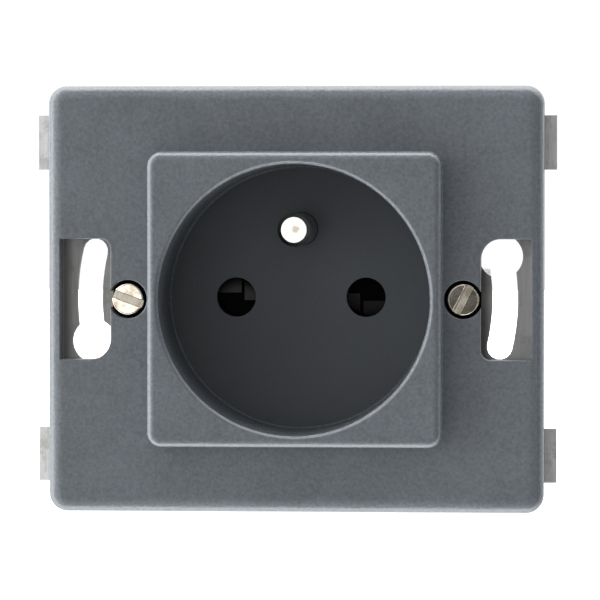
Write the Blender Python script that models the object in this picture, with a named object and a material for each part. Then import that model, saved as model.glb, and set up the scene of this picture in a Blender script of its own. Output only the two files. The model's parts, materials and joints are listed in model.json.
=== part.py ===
"""Flush modular socket outlet with an earth pin, for a round wall box.

A grey moulded cover carries a raised square with a round plug well. It clips into a pressed
steel frame with two keyhole slots, four side lugs and lanced ears for the spreading claws.
Behind the well lie the contact cover, a rotary safety shutter, the housing, the contacts,
the earth pin and three screw terminals.

Metres, +Z up. The front faces -Y and the wall is at +Y. Y = 0 is the frame's rear face, which
lies against the wall, and the well's axis is the line X = Z = 0.
"""
import math

import bmesh
import bpy
from mathutils import Matrix, Vector

# Clearances
SEAT_GAP = 0.0003
RUNNING_GAP = 0.0003

# Plug well and the raised square around it
WELL_MARGIN = 0.00719
WELL_TAPER = 0.0004
WELL_DEPTH = 0.0150
WELL_RIM_ROUND = 0.0005
WELL_WALL = 0.0012
SQUARE_BORDER = 0.00143
SQUARE_CORNER = 0.0019
SQUARE_EDGE_ROUND = 0.0005
SQUARE_STEP = 0.0030

# Cover plate
PLATE_THICKNESS = 0.0035
PLATE_MARGIN_ABOVE = 0.0096
PLATE_MARGIN_BESIDE = 0.00175
PLATE_CORNER = 0.0026
PLATE_EDGE_ROUND = 0.0014
COVER_WALL = 0.0018
COVER_RIB = 0.00165

# Windows beside the raised square, over the keyhole slots
SCREW_FROM_SQUARE = 0.0031
SCREW_HOLE_RADIUS = 0.00275
WINDOW_FROM_SCREW = 0.0025
WINDOW_WIDTH = 0.0073
WINDOW_HEIGHT = 0.0173
WINDOW_CORNER = 0.0014

# Hooks of the cover, which hold it in the frame
HOOK_WIDTH = 0.0050
HOOK_OFFSET = 0.0090
HOOK_BARB = 0.0010
HOOK_LENGTH = 0.0018

# Steel frame
FRAME_THICKNESS = 0.0012
FRAME_INSET = 0.00125
FRAME_CORNER = 0.0030
LUG_REACH = 0.00175
LUG_HEIGHT = 0.0078
LUG_FROM_EDGE = 0.0081
SLOT_FROM_WINDOW = 0.0034
SLOT_WIDTH = 0.00365
SLOT_END_ANGLE = 13.2
KEYHOLE_RADIUS = 0.00292
KEYHOLE_ANGLE = 11.8
NOTCH_LENGTH = 0.0042

# Plug pins
PIN_PITCH = 0.0190
PIN_HOLE_RADIUS = 0.00288
PLUG_PIN_REACH = 0.0195
EARTH_PIN_RADIUS = 0.0024
EARTH_PIN_LENGTH = 0.0140
EARTH_PIN_OFFSET = 0.0100
EARTH_PIN_CHAMFER = 0.00052
EARTH_STEM_RADIUS = 0.0016
EARTH_COLLAR = 0.0010

# Contact cover, the floor of the well
FLOOR_THICKNESS = 0.0016
FLANGE_THICKNESS = 0.0018
BODY_SIDE_GAP = 0.0005
BODY_CORNER = 0.0040

# Safety shutter
SHUTTER_THICKNESS = 0.0020
SHUTTER_LEAF_ANGLE = 18.0
SHUTTER_LIP = 0.0007
SHUTTER_HUB_RADIUS = 0.0032
SHUTTER_EDGE = 0.0005
PIVOT_RADIUS = 0.0010
SPRING_WIRE_RADIUS = 0.00022
SPRING_TURNS = 3
SPRING_PITCH = 0.0006
SPRING_MEAN_RADIUS = 0.0021
SPRING_POCKET_DEPTH = 0.0030

# Housing
HOUSING_FLANGE = 0.0032
HOUSING_REAR_WALL = 0.0025

# Contacts and terminals
STRIP_THICKNESS = 0.0008
LEAF_THICKNESS = 0.0007
CONTACT_GRIP = 0.0022
CONTACT_MOUTH = 0.0029
CONTACT_HALF_HEIGHT = 0.0026
CONTACT_SETBACK = 0.0015
CONTACT_END_GAP = 0.0030
CONTACT_FLARE = 0.0020
TERMINAL_DEPTH = 0.0085
TERMINAL_HALF_WIDTH = 0.0040
TERMINAL_HALF_HEIGHT = 0.0045
TERMINAL_SPREAD = 0.0052
TERMINAL_RISE = 0.0060
TERMINAL_END_WALL = 0.0010
TERMINAL_PLATE_HALF = 0.0034
TERMINAL_SCREW_RADIUS = 0.0016
TERMINAL_HEAD_RADIUS = 0.0030
TERMINAL_HEAD_HEIGHT = 0.0024
TERMINAL_TAIL = 0.0040
WASHER_HALF = 0.0034
WASHER_CORNER = 0.0005
WASHER_THICKNESS = 0.0012
WIRE_NOTCH_HALF = 0.0022

# Assembly screws
ASSEMBLY_INSET = 0.0028
ASSEMBLY_SCREW_RADIUS = 0.0012
ASSEMBLY_HEAD_RADIUS = 0.0024
ASSEMBLY_HEAD_HEIGHT = 0.0018
ASSEMBLY_HEAD_GAP = 0.00036
ASSEMBLY_BITE = 0.0070
BOSS_RADIUS = 0.0023

# Claws
CLAW_SCREW_RADIUS = 0.0015
CLAW_HEAD_RADIUS = 0.00215
DRIVER_SLOT_WIDTH = 0.00115
DRIVER_SLOT_DEPTH = 0.0011
LEFT_CLAW_SLOT_ANGLE = -20.0
RIGHT_CLAW_SLOT_ANGLE = 63.0
TERMINAL_SLOT_ANGLE = 30.0
ASSEMBLY_SLOT_ANGLE = 45.0
CLAW_SHEET = 0.0010
CLAW_PIVOT_DEPTH = 0.0025
CLAW_PIVOT_RADIUS = 0.0009
CLAW_NOSE = 0.0019
CLAW_SWING = 18.0
NUT_TRAVEL = 0.0090
NUT_REST = 0.0200
NUT_THICKNESS = 0.0030
NUT_WALL = 0.0008
NUT_PIN_RADIUS = 0.0010
CLAW_PRONG = 0.0019
CLAW_TAIL = 0.0028
CLAW_TAPER = 0.0005

# Roundness of turned pieces, arcs and rounded edges
FINE_STEPS = 64
ROUND_STEPS = 28
SMALL_STEPS = 16
CORNER_STEPS = 5
ARC_STEPS = 10
END_STEPS = 8
PLATE_EDGE_STEPS = 4
SQUARE_EDGE_STEPS = 3
WASHER_CORNER_STEPS = 2
SPRING_STEPS = 12
CAM_STEPS = 12
SMOOTH_ANGLE = math.radians(35.0)

# Levels along Y, from the front to the wall box
PLATE_REAR = -(FRAME_THICKNESS + SEAT_GAP)
PLATE_FACE = PLATE_REAR - PLATE_THICKNESS
SQUARE_FACE = PLATE_FACE - SQUARE_STEP
FLOOR_FACE = SQUARE_FACE + WELL_DEPTH
POCKET_FLOOR = FLOOR_FACE + FLOOR_THICKNESS
COVER_REAR = POCKET_FLOOR + SHUTTER_THICKNESS + 2.0 * RUNNING_GAP
FLANGE_FRONT = COVER_REAR - FLANGE_THICKNESS
WELL_END = FLANGE_FRONT - SEAT_GAP
HOUSING_FRONT = COVER_REAR + SEAT_GAP
HOUSING_FLANGE_REAR = HOUSING_FRONT + HOUSING_FLANGE
CAVITY_END = FLOOR_FACE + PLUG_PIN_REACH
HOUSING_REAR = CAVITY_END + HOUSING_REAR_WALL
TERMINAL_FLOOR = HOUSING_REAR - TERMINAL_DEPTH
STRIP_REAR = TERMINAL_FLOOR - SEAT_GAP
STRIP_FRONT = STRIP_REAR - STRIP_THICKNESS
SPRING_FLOOR = HOUSING_FRONT + SPRING_POCKET_DEPTH

# Places across the plate
PIN_X = PIN_PITCH / 2.0
SHUTTER_RADIUS = PIN_X + PIN_HOLE_RADIUS + SHUTTER_EDGE
WELL_RIM_RADIUS = PIN_X + PIN_HOLE_RADIUS + WELL_MARGIN
WELL_FLOOR_RADIUS = WELL_RIM_RADIUS - WELL_TAPER
WELL_OUTER_RADIUS = WELL_RIM_RADIUS + WELL_WALL
SQUARE_HALF = WELL_RIM_RADIUS + SQUARE_BORDER
CLAW_X = SQUARE_HALF + SCREW_FROM_SQUARE
WINDOW_INNER = CLAW_X + WINDOW_FROM_SCREW
WINDOW_OUTER = WINDOW_INNER + WINDOW_WIDTH
WINDOW_HALF_HEIGHT = WINDOW_HEIGHT / 2.0
SLOT_RADIUS = WINDOW_INNER + SLOT_FROM_WINDOW
PLATE_HALF_WIDTH = WINDOW_OUTER + PLATE_MARGIN_BESIDE
PLATE_HALF_HEIGHT = SQUARE_HALF + PLATE_MARGIN_ABOVE
OPENING_HALF = SQUARE_HALF + RUNNING_GAP
LUG_OFFSET = PLATE_HALF_HEIGHT - LUG_FROM_EDGE
TERMINAL_HEIGHT = EARTH_PIN_OFFSET + TERMINAL_RISE
BODY_HALF_WIDTH = SQUARE_HALF - BODY_SIDE_GAP
BODY_HALF_HEIGHT = TERMINAL_HEIGHT + TERMINAL_HALF_HEIGHT + TERMINAL_END_WALL
ASSEMBLY_X = BODY_HALF_WIDTH - ASSEMBLY_INSET
HEAD_ROOM = ASSEMBLY_HEAD_RADIUS + ASSEMBLY_HEAD_GAP
HOUSING_CORNER_CUT = BODY_HALF_WIDTH + BODY_HALF_HEIGHT - 2.0 * ASSEMBLY_X + math.sqrt(2.0) * HEAD_ROOM

# Claw sheet metal, counted from the claw screw's axis
NUT_HALF_HEIGHT = CLAW_SCREW_RADIUS + RUNNING_GAP + NUT_WALL
CHEEK_INNER = NUT_HALF_HEIGHT + RUNNING_GAP
CHEEK_OUTER = CHEEK_INNER + CLAW_SHEET
EAR_INNER = CHEEK_OUTER + RUNNING_GAP
EAR_OUTER = EAR_INNER + FRAME_THICKNESS
CAM_OFFSET = NUT_PIN_RADIUS + RUNNING_GAP
CLAW_BACK = CLAW_X + CAM_OFFSET + CLAW_PRONG

BOLT_CORNERS = [(x, z) for x in (-1, 1) for z in (-1, 1)]
TERMINALS = {
    "phase": (TERMINAL_SPREAD, -TERMINAL_HEIGHT),
    "neutral": (-TERMINAL_SPREAD, -TERMINAL_HEIGHT),
    "earth": (0.0, TERMINAL_HEIGHT),
}


def clear_scene():
    """Removes every object that the file started with."""
    for item in list(bpy.data.objects):
        bpy.data.objects.remove(item, do_unlink=True)


def make_material(name, colour, roughness, metallic):
    """A Principled material in one colour."""
    material = bpy.data.materials.new(name)
    material.use_nodes = True
    shader = material.node_tree.nodes["Principled BSDF"]
    shader.inputs["Base Color"].default_value = (*colour, 1.0)
    shader.inputs["Roughness"].default_value = roughness
    shader.inputs["Metallic"].default_value = metallic
    material.diffuse_color = (*colour, 1.0)
    return material


def arc(centre, radius, start, end, steps):
    """Points on an arc, with the angles in degrees from +X."""
    angles = [math.radians(start + (end - start) * step / steps) for step in range(steps + 1)]
    return [(centre[0] + radius * math.cos(a), centre[1] + radius * math.sin(a)) for a in angles]


def rounded_rectangle(half_width, half_height, radius, steps=CORNER_STEPS):
    """Outline of a rectangle round the origin with round corners."""
    x = half_width - radius
    z = half_height - radius
    points = arc((x, z), radius, 0.0, 90.0, steps)
    points += arc((-x, z), radius, 90.0, 180.0, steps)
    points += arc((-x, -z), radius, 180.0, 270.0, steps)
    points += arc((x, -z), radius, 270.0, 360.0, steps)
    return points


def rectangle(low_u, high_u, low_v, high_v):
    """Outline of a plain rectangle."""
    return [(low_u, low_v), (high_u, low_v), (high_u, high_v), (low_u, high_v)]


def lofted(sections):
    """A closed mesh through sections of equally many points, with flat ends."""
    mesh = bmesh.new()
    loops = [[mesh.verts.new(point) for point in section] for section in sections]
    for near, far in zip(loops[:-1], loops[1:]):
        for index in range(len(near)):
            after = (index + 1) % len(near)
            mesh.faces.new((near[index], near[after], far[after], far[index]))
    mesh.faces.new(loops[0])
    mesh.faces.new(loops[-1])
    bmesh.ops.recalc_face_normals(mesh, faces=mesh.faces)
    return mesh


def extruded(outline, start, end, axis="Y"):
    """A flat outline pushed along an axis. Along Y it is drawn in XZ, along Z in XY, along X in YZ."""
    place = {
        "X": lambda u, v, t: (t, u, v),
        "Y": lambda u, v, t: (u, t, v),
        "Z": lambda u, v, t: (u, v, t),
    }[axis]
    return lofted([[place(u, v, t) for u, v in outline] for t in (start, end)])


def round_front_edge(mesh, level, width, segments):
    """Rounds the edges that lie at one level along Y."""
    tolerance = width / 100.0
    edges = [e for e in mesh.edges if all(abs(v.co.y - level) < tolerance for v in e.verts)]
    bmesh.ops.bevel(mesh, geom=edges, offset=width, segments=segments, profile=0.5, affect="EDGES")


def turned(profile, centre=(0.0, 0.0), steps=ROUND_STEPS):
    """A solid of revolution about an axis along Y. The profile holds (radius, y) pairs."""
    mesh = bmesh.new()
    points = [mesh.verts.new((radius, y, 0.0)) for radius, y in profile]
    edges = [mesh.edges.new(pair) for pair in zip(points[:-1], points[1:])]
    if profile[0][0] > 0.0:
        edges.append(mesh.edges.new((points[-1], points[0])))
    bmesh.ops.spin(
        mesh,
        geom=points + edges,
        cent=(0.0, 0.0, 0.0),
        axis=(0.0, 1.0, 0.0),
        angle=math.tau,
        steps=steps,
        use_merge=True,
    )
    bmesh.ops.remove_doubles(mesh, verts=mesh.verts, dist=0.000001)
    bmesh.ops.recalc_face_normals(mesh, faces=mesh.faces)
    bmesh.ops.translate(mesh, verts=mesh.verts, vec=(centre[0], 0.0, centre[1]))
    return mesh


def rod(radius, start, end, centre=(0.0, 0.0), steps=SMALL_STEPS):
    """A plain cylinder along Y."""
    return turned([(0.0, start), (radius, start), (radius, end), (0.0, end)], centre, steps)


def rod_along_z(radius, low, high, centre, steps=SMALL_STEPS):
    """A plain cylinder along Z."""
    return extruded(arc(centre, radius, 0.0, 360.0 - 360.0 / steps, steps - 1), low, high, "Z")


def make_object(name, mesh, material=None, turn=None, origin=(0.0, 0.0, 0.0)):
    """Turns a mesh about the well's axis if asked and puts it in the scene with its own origin."""
    if turn is not None:
        bmesh.ops.transform(mesh, matrix=turn, verts=mesh.verts)
    bmesh.ops.translate(mesh, verts=mesh.verts, vec=-Vector(origin))
    data = bpy.data.meshes.new(name)
    mesh.to_mesh(data)
    mesh.free()
    if material is not None:
        data.materials.append(material)
    data.shade_smooth()
    data.set_sharp_from_angle(angle=SMOOTH_ANGLE)
    item = bpy.data.objects.new(name, data)
    item.location = origin
    bpy.context.collection.objects.link(item)
    return item


def combine(target, mesh, operation, turn=None):
    """Joins a tool mesh to an object or cuts it out, with a Boolean modifier."""
    label = f"{target.name}_tool_{len(target.modifiers) + 1}"
    tool = make_object(label, mesh, turn=turn)
    tool.hide_render = True
    tool.display_type = "WIRE"
    modifier = target.modifiers.new(label, "BOOLEAN")
    modifier.operation = operation
    modifier.solver = "EXACT"
    modifier.object = tool


def join(target, mesh, turn=None):
    """Joins a mesh to an object."""
    combine(target, mesh, "UNION", turn)


def cut(target, mesh, turn=None):
    """Cuts a mesh out of an object."""
    combine(target, mesh, "DIFFERENCE", turn)


def settle(item):
    """Applies an object's Booleans, removes their tools and shades the result by angle."""
    tools = [modifier.object for modifier in item.modifiers]
    graph = bpy.context.evaluated_depsgraph_get()
    data = bpy.data.meshes.new_from_object(item.evaluated_get(graph))
    item.modifiers.clear()
    item.data = data
    data.name = item.name
    for tool in tools:
        bpy.data.objects.remove(tool, do_unlink=True)
    data.shade_smooth()
    data.set_sharp_from_angle(angle=SMOOTH_ANGLE)


def half_turn(side):
    """The left side of the mechanism is its right side turned half round the well's axis."""
    return Matrix.Rotation(math.pi, 4, "Y") if side == "left" else None


def window_outline():
    """Right window: sharp corners, except the rounded one at the lower inside."""
    points = arc(
        (WINDOW_INNER + WINDOW_CORNER, -WINDOW_HALF_HEIGHT + WINDOW_CORNER),
        WINDOW_CORNER,
        180.0,
        270.0,
        CORNER_STEPS,
    )
    points += [
        (WINDOW_OUTER, -WINDOW_HALF_HEIGHT),
        (WINDOW_OUTER, WINDOW_HALF_HEIGHT),
        (WINDOW_INNER, WINDOW_HALF_HEIGHT),
    ]
    return points


def underside_pocket(side):
    """Hollow under the plate above or below the raised square, a U round the square's edge."""
    outer_x = PLATE_HALF_WIDTH - COVER_RIB
    outer_z = PLATE_HALF_HEIGHT - COVER_RIB
    inner_x = SQUARE_HALF + COVER_RIB
    low_z = WINDOW_HALF_HEIGHT + COVER_RIB
    points = [
        (outer_x, low_z),
        (outer_x, outer_z),
        (-outer_x, outer_z),
        (-outer_x, low_z),
        (-inner_x, low_z),
        (-inner_x, inner_x),
        (inner_x, inner_x),
        (inner_x, low_z),
    ]
    outline = [(x, z * side) for x, z in points]
    return extruded(outline, PLATE_FACE + COVER_WALL, PLATE_REAR + COVER_WALL)


def well_cutter():
    """Bore of the plug well, with a rounded rim and a slight taper towards the floor."""
    rim = WELL_RIM_RADIUS
    centre = (rim + WELL_RIM_ROUND, SQUARE_FACE + WELL_RIM_ROUND)
    edge = arc(centre, WELL_RIM_ROUND, 270.0, 180.0, PLATE_EDGE_STEPS)
    end = WELL_END + COVER_WALL
    profile = [(0.0, SQUARE_FACE - COVER_WALL), (rim + WELL_RIM_ROUND, SQUARE_FACE - COVER_WALL)]
    profile += edge
    profile += [(WELL_FLOOR_RADIUS, FLOOR_FACE), (WELL_FLOOR_RADIUS, end), (0.0, end)]
    return turned(profile, steps=FINE_STEPS)


def hook_outline(side):
    """Section of a cover hook in YZ: a tongue behind the square's wall with a sloping barb."""
    inner = SQUARE_HALF - COVER_RIB
    tip = SEAT_GAP + HOOK_LENGTH
    reach = OPENING_HALF + HOOK_BARB
    points = [
        (PLATE_REAR - COVER_RIB, inner),
        (tip, inner),
        (tip, SQUARE_HALF),
        (SEAT_GAP + HOOK_LENGTH / 2.0, reach),
        (SEAT_GAP, reach),
        (SEAT_GAP, SQUARE_HALF),
        (PLATE_REAR - COVER_RIB, SQUARE_HALF),
    ]
    return [(y, z * side) for y, z in points]


def make_front_cover(material):
    """Moulded cover: plate, raised square, well wall, windows, screw holes, bosses and hooks."""
    outline = rounded_rectangle(PLATE_HALF_WIDTH, PLATE_HALF_HEIGHT, PLATE_CORNER)
    plate = extruded(outline, PLATE_FACE, PLATE_REAR)
    round_front_edge(plate, PLATE_FACE, PLATE_EDGE_ROUND, PLATE_EDGE_STEPS)
    cover = make_object("front_cover", plate, material)
    square = extruded(
        rounded_rectangle(SQUARE_HALF, SQUARE_HALF, SQUARE_CORNER),
        SQUARE_FACE,
        PLATE_FACE + COVER_WALL / 2.0,
    )
    round_front_edge(square, SQUARE_FACE, SQUARE_EDGE_ROUND, SQUARE_EDGE_STEPS)
    join(cover, square)
    for side in (1, -1):
        cut(cover, underside_pocket(side))
    inner = SQUARE_HALF - COVER_RIB
    hollow = rounded_rectangle(inner, inner, SQUARE_CORNER)
    cut(cover, extruded(hollow, SQUARE_FACE + COVER_WALL, PLATE_REAR + COVER_WALL))
    root = SQUARE_FACE + COVER_WALL / 2.0
    join(cover, rod(WELL_OUTER_RADIUS, root, WELL_END, steps=FINE_STEPS))
    for x, z in BOLT_CORNERS:
        centre = (x * ASSEMBLY_X, z * ASSEMBLY_X)
        join(cover, rod(BOSS_RADIUS, root, WELL_END, centre))
    for side in (1, -1):
        for x in (-HOOK_OFFSET, HOOK_OFFSET):
            hook = extruded(hook_outline(side), x - HOOK_WIDTH / 2.0, x + HOOK_WIDTH / 2.0, "X")
            join(cover, hook)
    cut(cover, well_cutter())
    for side in ("right", "left"):
        turn = half_turn(side)
        cut(cover, extruded(window_outline(), PLATE_FACE - COVER_WALL, PLATE_REAR + COVER_WALL), turn)
        hole = rod(SCREW_HOLE_RADIUS, PLATE_FACE - COVER_WALL, PLATE_REAR + COVER_WALL,
                   (CLAW_X, 0.0), ROUND_STEPS)
        cut(cover, hole, turn)
    for x, z in BOLT_CORNERS:
        centre = (x * ASSEMBLY_X, z * ASSEMBLY_X)
        depth = HOUSING_FRONT - ASSEMBLY_BITE - COVER_WALL
        hole = rod(ASSEMBLY_SCREW_RADIUS + RUNNING_GAP, depth, WELL_END + COVER_WALL, centre)
        cut(cover, hole)
    settle(cover)


def keyhole_outline():
    """Right keyhole slot: a round-ended arc about the well's axis with a large hole at its top."""
    half = SLOT_WIDTH / 2.0
    low = -SLOT_END_ANGLE
    high = KEYHOLE_ANGLE
    end = arc((0.0, 0.0), SLOT_RADIUS, low, low, 1)[0]
    points = arc(end, half, low - 180.0, low, END_STEPS)
    points += arc((0.0, 0.0), SLOT_RADIUS + half, low, high, ARC_STEPS)[1:]
    points += arc((0.0, 0.0), SLOT_RADIUS - half, high, low, ARC_STEPS)[:-1]
    return points


def make_support_frame(material):
    """Pressed steel frame with opening, side lugs, keyhole slots and lanced claw ears."""
    half_x = PLATE_HALF_WIDTH - FRAME_INSET
    half_z = PLATE_HALF_HEIGHT - FRAME_INSET
    front = -FRAME_THICKNESS
    frame = make_object(
        "support_frame",
        extruded(rounded_rectangle(half_x, half_z, FRAME_CORNER), front, 0.0),
        material,
    )
    lug_tip = PLATE_HALF_WIDTH + LUG_REACH
    for z in (-LUG_OFFSET, LUG_OFFSET):
        low = z - LUG_HEIGHT / 2.0
        high = z + LUG_HEIGHT / 2.0
        join(frame, extruded(rectangle(-lug_tip, lug_tip, low, high), front, 0.0))
    opening = rounded_rectangle(OPENING_HALF, OPENING_HALF, SQUARE_CORNER)
    cut(frame, extruded(opening, front - FRAME_THICKNESS, FRAME_THICKNESS))
    ear_half = CLAW_NOSE
    ear_tip = CLAW_PIVOT_DEPTH
    for side in ("right", "left"):
        turn = half_turn(side)
        cut(frame, extruded(keyhole_outline(), front - FRAME_THICKNESS, FRAME_THICKNESS), turn)
        angle = math.radians(KEYHOLE_ANGLE)
        head = (SLOT_RADIUS * math.cos(angle), SLOT_RADIUS * math.sin(angle))
        cut(frame, rod(KEYHOLE_RADIUS, front - FRAME_THICKNESS, FRAME_THICKNESS, head, ROUND_STEPS), turn)
        shank_hole = rod(CLAW_SCREW_RADIUS + RUNNING_GAP, front - FRAME_THICKNESS, FRAME_THICKNESS,
                         (CLAW_X, 0.0))
        cut(frame, shank_hole, turn)
        for z in (-1, 1):
            inner = z * EAR_INNER
            outer = z * EAR_OUTER
            root = -FRAME_THICKNESS / 2.0
            ear = [(CLAW_X - ear_half, root)]
            ear += arc((CLAW_X, ear_tip), ear_half, 180.0, 0.0, ARC_STEPS)
            ear += [(CLAW_X + ear_half, root)]
            notch = rectangle(CLAW_X - ear_half, CLAW_X + ear_half, outer, outer + z * NOTCH_LENGTH)
            cut(frame, extruded(notch, front - FRAME_THICKNESS, FRAME_THICKNESS), turn)
            join(frame, extruded(ear, inner, outer, "Z"), turn)
            pivot = rod_along_z(CLAW_PIVOT_RADIUS + RUNNING_GAP, inner - z * SEAT_GAP,
                                outer + z * SEAT_GAP, (CLAW_X, CLAW_PIVOT_DEPTH))
            cut(frame, pivot, turn)
    settle(frame)


def shutter_pocket():
    """Room for the shutter behind the floor: a disc with a block left round the earth pin."""
    radius = SHUTTER_RADIUS + RUNNING_GAP
    half = EARTH_PIN_RADIUS + RUNNING_GAP + EARTH_COLLAR / 2.0
    base = EARTH_PIN_OFFSET - EARTH_PIN_RADIUS - RUNNING_GAP - EARTH_COLLAR
    start = math.degrees(math.asin(half / radius))
    outline = arc((0.0, 0.0), radius, 90.0 + start, 450.0 - start, FINE_STEPS)
    outline += [(half, base), (-half, base)]
    return extruded(outline, POCKET_FLOOR, COVER_REAR + FLOOR_THICKNESS)


def make_contact_cover(material):
    """Floor of the well with its pin holes, the shutter's pocket and a flange for the screws."""
    outline = rounded_rectangle(BODY_HALF_WIDTH, BODY_HALF_HEIGHT, BODY_CORNER)
    cover = make_object("contact_cover", extruded(outline, FLANGE_FRONT, COVER_REAR), material)
    disc_radius = WELL_FLOOR_RADIUS - SEAT_GAP / 2.0
    join(cover, rod(disc_radius, FLOOR_FACE, FLANGE_FRONT + FLANGE_THICKNESS / 2.0, steps=FINE_STEPS))
    cut(cover, shutter_pocket())
    for x in (-PIN_X, PIN_X):
        cut(cover, rod(PIN_HOLE_RADIUS, FLOOR_FACE - FLOOR_THICKNESS,
                       POCKET_FLOOR + SHUTTER_THICKNESS / 2.0, (x, 0.0), ROUND_STEPS))
    earth_hole = rod(EARTH_PIN_RADIUS + SEAT_GAP, FLOOR_FACE - FLOOR_THICKNESS,
                     COVER_REAR + FLOOR_THICKNESS, (0.0, EARTH_PIN_OFFSET), ROUND_STEPS)
    cut(cover, earth_hole)
    for x, z in BOLT_CORNERS:
        centre = (x * ASSEMBLY_X, z * ASSEMBLY_X)
        hole = rod(ASSEMBLY_SCREW_RADIUS + RUNNING_GAP, FLANGE_FRONT - FLANGE_THICKNESS,
                   COVER_REAR + FLANGE_THICKNESS, centre)
        cut(cover, hole)
    settle(cover)


def make_shutter(material):
    """Rotary shutter: a hub with two ramped leaves, one behind each pin hole."""
    front = POCKET_FLOOR + RUNNING_GAP
    rear = front + SHUTTER_THICKNESS
    hub = turned(
        [(PIVOT_RADIUS + RUNNING_GAP, front), (SHUTTER_HUB_RADIUS, front),
         (SHUTTER_HUB_RADIUS, rear), (PIVOT_RADIUS + RUNNING_GAP, rear)],
    )
    shutter = make_object("shutter", hub, material)
    inner = (PIVOT_RADIUS + RUNNING_GAP + SHUTTER_HUB_RADIUS) / 2.0
    for facing in (0.0, 180.0):
        low = facing - SHUTTER_LEAF_ANGLE
        high = facing + SHUTTER_LEAF_ANGLE
        outer_edge = arc((0.0, 0.0), SHUTTER_RADIUS, low, high, END_STEPS)
        inner_edge = arc((0.0, 0.0), inner, high, low, END_STEPS)
        slope = (SHUTTER_THICKNESS - SHUTTER_LIP) / END_STEPS
        rises = [SHUTTER_LIP + slope * step for step in range(END_STEPS + 1)]
        heights = rises + rises[::-1]
        top = [(x, rear - height, z) for (x, z), height in zip(outer_edge + inner_edge, heights)]
        base = [(x, rear, z) for x, z in outer_edge + inner_edge]
        join(shutter, lofted([top, base]))
    spring_hole = rod(SPRING_WIRE_RADIUS + RUNNING_GAP, front - RUNNING_GAP, rear + RUNNING_GAP,
                      (0.0, SPRING_MEAN_RADIUS))
    cut(shutter, spring_hole)
    settle(shutter)


def make_shutter_spring(material):
    """Torsion spring on the shutter's pivot, with one leg in the hub and one in the housing."""
    top = HOUSING_FRONT + SPRING_WIRE_RADIUS + RUNNING_GAP
    count = SPRING_TURNS * SPRING_STEPS + SPRING_STEPS // 2
    points = [(0.0, POCKET_FLOOR + SHUTTER_THICKNESS, SPRING_MEAN_RADIUS)]
    for step in range(count + 1):
        angle = math.tau * step / SPRING_STEPS
        depth = top + SPRING_PITCH * step / SPRING_STEPS
        points.append((SPRING_MEAN_RADIUS * math.sin(angle), depth, SPRING_MEAN_RADIUS * math.cos(angle)))
    points.append((-SPRING_MEAN_RADIUS, points[-1][1], -SPRING_MEAN_RADIUS))
    curve = bpy.data.curves.new("shutter_spring", "CURVE")
    curve.dimensions = "3D"
    curve.bevel_depth = SPRING_WIRE_RADIUS
    curve.bevel_resolution = 1
    curve.use_fill_caps = True
    spline = curve.splines.new("POLY")
    spline.points.add(len(points) - 1)
    for target, point in zip(spline.points, points):
        target.co = (*point, 1.0)
    curve.materials.append(material)
    spring = bpy.data.objects.new("shutter_spring", curve)
    bpy.context.collection.objects.link(spring)


def contact_centre(side):
    """X of a contact: positive for the phase, negative for the neutral."""
    return side * PIN_X


def strip_outline(side, grow):
    """Brass tongue from a contact's base to its terminal plate, drawn in XZ."""
    neck = CONTACT_MOUTH + grow
    top = -(CONTACT_HALF_HEIGHT + LEAF_THICKNESS / 2.0)
    bend = top - 2.0 * CONTACT_MOUTH
    plate = TERMINAL_PLATE_HALF + grow
    shoulder = -(TERMINAL_HEIGHT - TERMINAL_PLATE_HALF)
    end = -(TERMINAL_HEIGHT + TERMINAL_PLATE_HALF + grow)
    points = [
        (PIN_X + neck, top),
        (PIN_X + neck, bend),
        (TERMINAL_SPREAD + plate, shoulder),
        (TERMINAL_SPREAD + plate, end),
        (TERMINAL_SPREAD - plate, end),
        (TERMINAL_SPREAD - plate, shoulder),
        (PIN_X - neck, bend),
        (PIN_X - neck, top),
    ]
    return [(x * side, z) for x, z in points]


def contact_section(y, gap, centre):
    """Section of the U-shaped contact spring at one depth."""
    wall = gap + LEAF_THICKNESS
    top = CONTACT_HALF_HEIGHT
    base = -CONTACT_HALF_HEIGHT
    floor = base - LEAF_THICKNESS
    points = [(-wall, top), (-wall, floor), (wall, floor), (wall, top)]
    points += [(gap, top), (gap, base), (-gap, base), (-gap, top)]
    return [(centre + x, y, z) for x, z in points]


def make_contact(name, side, material):
    """Female contact: a U spring that grips the plug pin, a tongue and a terminal plate."""
    centre = contact_centre(side)
    start = HOUSING_FRONT + CONTACT_SETBACK
    end = CAVITY_END - CONTACT_END_GAP
    levels = [(start, CONTACT_MOUTH), (start + CONTACT_FLARE, CONTACT_GRIP), (end, CONTACT_GRIP)]
    contact = make_object(name, lofted([contact_section(y, gap, centre) for y, gap in levels]), material)
    join(contact, extruded(strip_outline(side, 0.0), STRIP_FRONT, STRIP_REAR))
    hole = rod(TERMINAL_SCREW_RADIUS + RUNNING_GAP, STRIP_FRONT - SEAT_GAP, STRIP_REAR + SEAT_GAP,
               (side * TERMINAL_SPREAD, -TERMINAL_HEIGHT))
    cut(contact, hole)
    settle(contact)


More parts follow.
